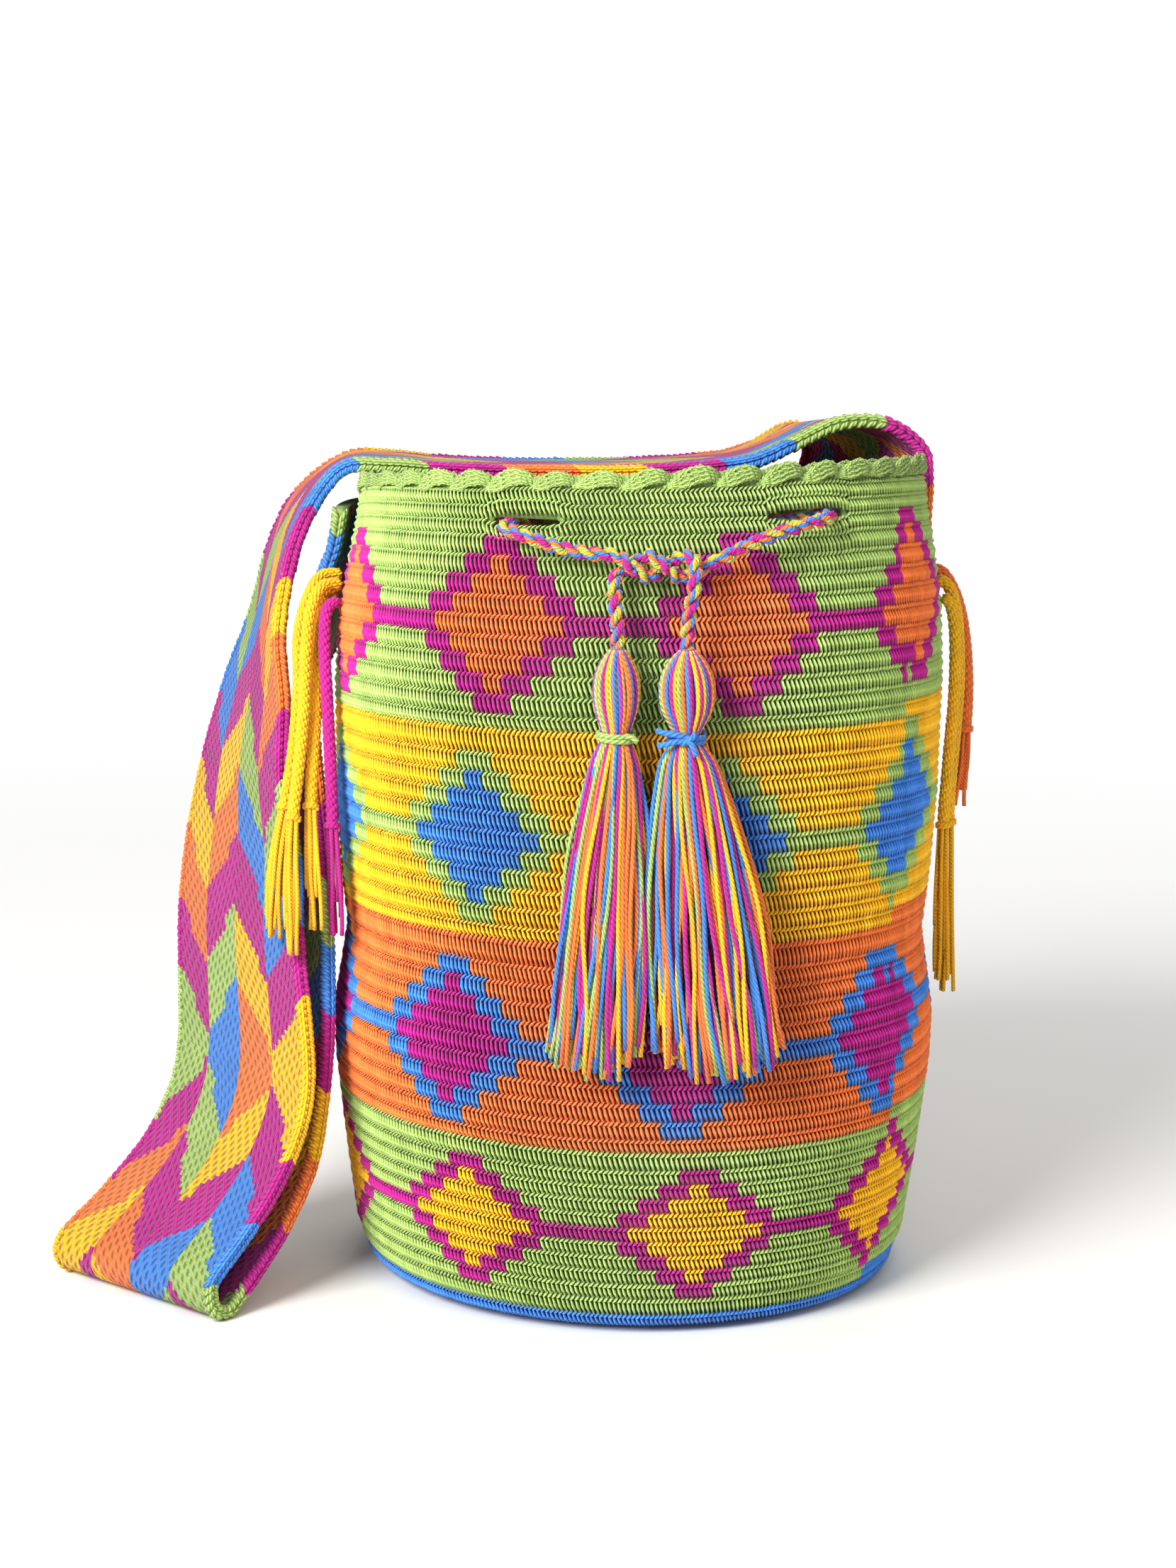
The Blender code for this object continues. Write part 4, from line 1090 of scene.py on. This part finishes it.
def make_tassel(side, material):
    """A tassel of many yarns in five colours, and the yarn tied round its neck."""
    neck_x, hem_x, head_half, hem_half, wrap_color = TASSELS[side]
    bundle = YarnBundle()
    for number in range(TASSEL_YARNS):
        line = tassel_yarn(number, neck_x, hem_x, head_half - 0.8 * MM, hem_half)
        bundle.add(line, 0.84 * MM, tassel_color(number), 5)
    tassel = new_piece(bundle.mesh(side + "_tassel_yarns"), material, "tassel_yarn",
                       side + "_tassel")
    wrap = YarnBundle()
    angles = np.linspace(0, 2 * math.pi * WRAP_TURNS, WRAP_TURNS * 20 + 1)
    radius = NECK_RADIUS + 0.6 * MM
    heights = TASSEL_NECK - 1.2 * MM - angles / (2 * math.pi) * 1.5 * MM
    line = np.stack([neck_x + radius * np.cos(angles), TASSEL_Y + radius * np.sin(angles),
                     heights], axis=-1)
    wrap.add(line, 0.95 * MM, YARN[wrap_color], 6)
    for tie in TIE_ENDS[side]:
        line = smooth_through(tie, 4) * MM + np.array([neck_x, TASSEL_Y, TASSEL_NECK])
        wrap.add(line, 1.0 * MM, YARN[wrap_color], 6)
    binding = new_piece(wrap.mesh(side + "_tassel_wrap"), material, "binding_yarn",
                        side + "_tassel_binding")
    return tassel, binding


def make_end_cord(name, material):
    """A cord of four twisted strands whose last stretch is frayed into loose yarns."""
    color, tail, route = END_CORDS[name]
    route = in_metres(route)
    path = evenly(smooth_through(route, 12), 1.2 * MM)
    far = lengths_along(path)
    cut = int(np.searchsorted(far, far[-1] - tail))
    bundle = YarnBundle()
    for strand in range(4):
        line = twisted(path[:cut + 2], 1.25 * MM, END_CORD_LAY, strand * math.pi / 2)
        bundle.add(line, 1.16 * MM, varied(YARN[color]), 7)
    rest = evenly(path[cut:], 3.0 * MM)
    share = np.linspace(0, 1, len(rest))
    _, side, up = path_frames(rest)
    yarns = 12
    for number in range(yarns):
        turn = 2 * math.pi * number / yarns * 2.4
        reach = (1.3 + 1.6 * (number % 4) / 3) * MM
        wave = 0.5 * MM * share * np.sin(share * LUCK.uniform(3, 8) + LUCK.uniform(0, 6))
        spread = 1.4 * MM + (reach - 1.4 * MM) * share ** 0.6
        keep = len(rest) if number % 3 == 0 else int(len(rest) * LUCK.uniform(0.7, 1.0))
        line = rest + (spread * math.cos(turn) + wave)[:, None] * side
        line = line + (spread * math.sin(turn))[:, None] * up
        bundle.add(line[:keep], 0.8 * MM, varied(YARN[color], 0.09), 5)
    # The yarns are tied round where the cord begins to fray
    ahead, side, up = (part[cut] for part in path_frames(path))
    angles = np.linspace(0, 4 * math.pi, 29)
    ring = path[cut] + 2.3 * MM * (np.cos(angles)[:, None] * side + np.sin(angles)[:, None] * up)
    ring = ring + np.linspace(-0.9, 0.9, 29)[:, None] * MM * ahead
    bundle.add(ring, 0.85 * MM, YARN[color], 6)
    piece = new_piece(bundle.mesh(name + "_yarns"), material, "cord_yarn", name)


def make_cords(cord_yarn, tassel_material):
    ends = make_drawstring(cord_yarn)
    for side, (piece, path) in ends.items():
        tassel, binding = make_tassel(side, tassel_material)
    for name in END_CORDS:
        make_end_cord(name, cord_yarn)


def make_camera():
    camera = bpy.data.cameras.new("camera")
    camera.sensor_width = 36.0
    camera.lens = 36.0 * FOCAL_PIXELS / max(PHOTO_SIZE)
    view = bpy.data.objects.new("camera", camera)
    turn = (Matrix.Rotation(math.radians(90 - CAMERA_PITCH), 4, "X")
            @ Matrix.Rotation(math.radians(CAMERA_ROLL), 4, "Z"))
    view.matrix_world = Matrix.Translation(CAMERA_PLACE) @ turn
    bpy.context.scene.collection.objects.link(view)
    bpy.context.scene.camera = view


def add_lamp(name, place, aim, size, power):
    light = bpy.data.lights.new(name, "AREA")
    light.shape = "DISK"
    light.size = size
    light.energy = power
    lamp = bpy.data.objects.new(name, light)
    lamp.location = place
    lamp.rotation_mode = "QUATERNION"
    lamp.rotation_quaternion = (Vector(aim) - Vector(place)).to_track_quat("-Z", "Y")
    bpy.context.scene.collection.objects.link(lamp)


def make_world():
    """White to the camera and in reflections, and a soft grey light on the object."""
    world = bpy.data.worlds.new("studio")
    bpy.context.scene.world = world
    world.use_nodes = True
    tree = world.node_tree
    rays = add_node(tree, "ShaderNodeLightPath")
    shown = add_node(tree, "ShaderNodeMath", {"operation": "MAXIMUM"}, {
        0: rays.outputs["Is Camera Ray"], 1: rays.outputs["Is Glossy Ray"]})
    seen = add_node(tree, "ShaderNodeMath", {"operation": "MAXIMUM"}, {
        0: shown.outputs["Value"], 1: rays.outputs["Is Transmission Ray"]})
    strength = add_node(tree, "ShaderNodeMapRange", None, {
        "Value": seen.outputs["Value"], "To Min": 0.46, "To Max": 1.0})
    background = tree.nodes["Background"]
    background.inputs["Color"].default_value = (1.0, 1.0, 1.0, 1.0)
    tree.links.new(strength.outputs["Result"], background.inputs["Strength"])


def make_floor():
    """A plain pale floor that fades to white far from the bag."""
    material = bpy.data.materials.new("pale_studio_floor")
    material.use_nodes = True
    tree = material.node_tree
    shader = tree.nodes["Principled BSDF"]
    shader.inputs["Base Color"].default_value = linear(FLOOR_HEX)
    shader.inputs["Roughness"].default_value = 0.9
    white = add_node(tree, "ShaderNodeEmission", None, {"Color": (1.0, 1.0, 1.0, 1.0)})
    where = add_node(tree, "ShaderNodeTexCoord")
    far = add_node(tree, "ShaderNodeVectorMath", {"operation": "LENGTH"}, {
        0: where.outputs["Object"]})
    fade = add_node(tree, "ShaderNodeMapRange", {"interpolation_type": "SMOOTHSTEP"}, {
        "Value": far.outputs["Value"], "From Min": 0.35, "From Max": 1.3})
    rays = add_node(tree, "ShaderNodeLightPath")
    share = add_node(tree, "ShaderNodeMath", {"operation": "MULTIPLY"}, {
        0: fade.outputs["Result"], 1: rays.outputs["Is Camera Ray"]})
    mixed = add_node(tree, "ShaderNodeMixShader", None, {
        0: share.outputs["Value"], 1: shader.outputs["BSDF"], 2: white.outputs["Emission"]})
    tree.links.new(mixed.outputs["Shader"], tree.nodes["Material Output"].inputs["Surface"])
    soft = bmesh.new()
    bmesh.ops.create_circle(soft, cap_ends=True, segments=96, radius=8.0)
    mesh = bpy.data.meshes.new("floor")
    soft.to_mesh(mesh)
    soft.free()
    mesh.materials.append(material)
    floor = bpy.data.objects.new("floor", mesh)
    bpy.context.scene.collection.objects.link(floor)


def make_studio():
    make_world()
    make_floor()
    add_lamp("window", (-0.95, -1.35, 1.15), (0, 0, 0.15), 0.9, 56.0)
    add_lamp("fill", (0.4, -1.3, 1.5), (0, 0, 0.2), 1.0, 6.0)
    add_lamp("back", (0.3, 1.3, 1.3), (0, 0, 0.15), 1.2, 8.0)
    bpy.context.scene.view_settings.view_transform = "Standard"


def main():
    make_camera()
    # Plied yarn in the edging and the strap's braid: slanting plies that catch light
    crochet = yarn_surface("crocheted_acrylic_yarn", plies(2.1, 3), (0.58, 1.25), 0.4 * MM)
    # The rounds: each strand has painted light on its crest and painted shade beside the next
    rounds = yarn_surface("crocheted_acrylic_rounds", crested_plies, (0.40, 1.27), 0.5 * MM)
    # The wall behind the stitches: a faint upright ribbing
    wall = yarn_surface("crocheted_acrylic_back", plies(1.9, 1), (0.80, 1.08), 0.4 * MM)
    # Cords: plies wound tight, so only a fine slant shows
    cords = yarn_surface("twisted_acrylic_cord", plies(1.4, 3), (0.80, 1.15), 0.4 * MM)
    # Tassels: loose yarn whose plies show one by one
    tassels = yarn_surface("plied_acrylic_yarn", plies(2.1, 3), (0.66, 1.18), 0.4 * MM)
    # The woven band: flat strands with painted shade in small pits where they cross, and the whole
    # band darker as painted shade, since its flat faces shade themselves too little
    band = yarn_surface("woven_acrylic_band", woven_pits, (0.22, 0.74), 1.4 * MM)
    make_cords(cords, tassels)
    make_strap(band, crochet)
    make_body(rounds, crochet, wall)
    make_studio()


main()
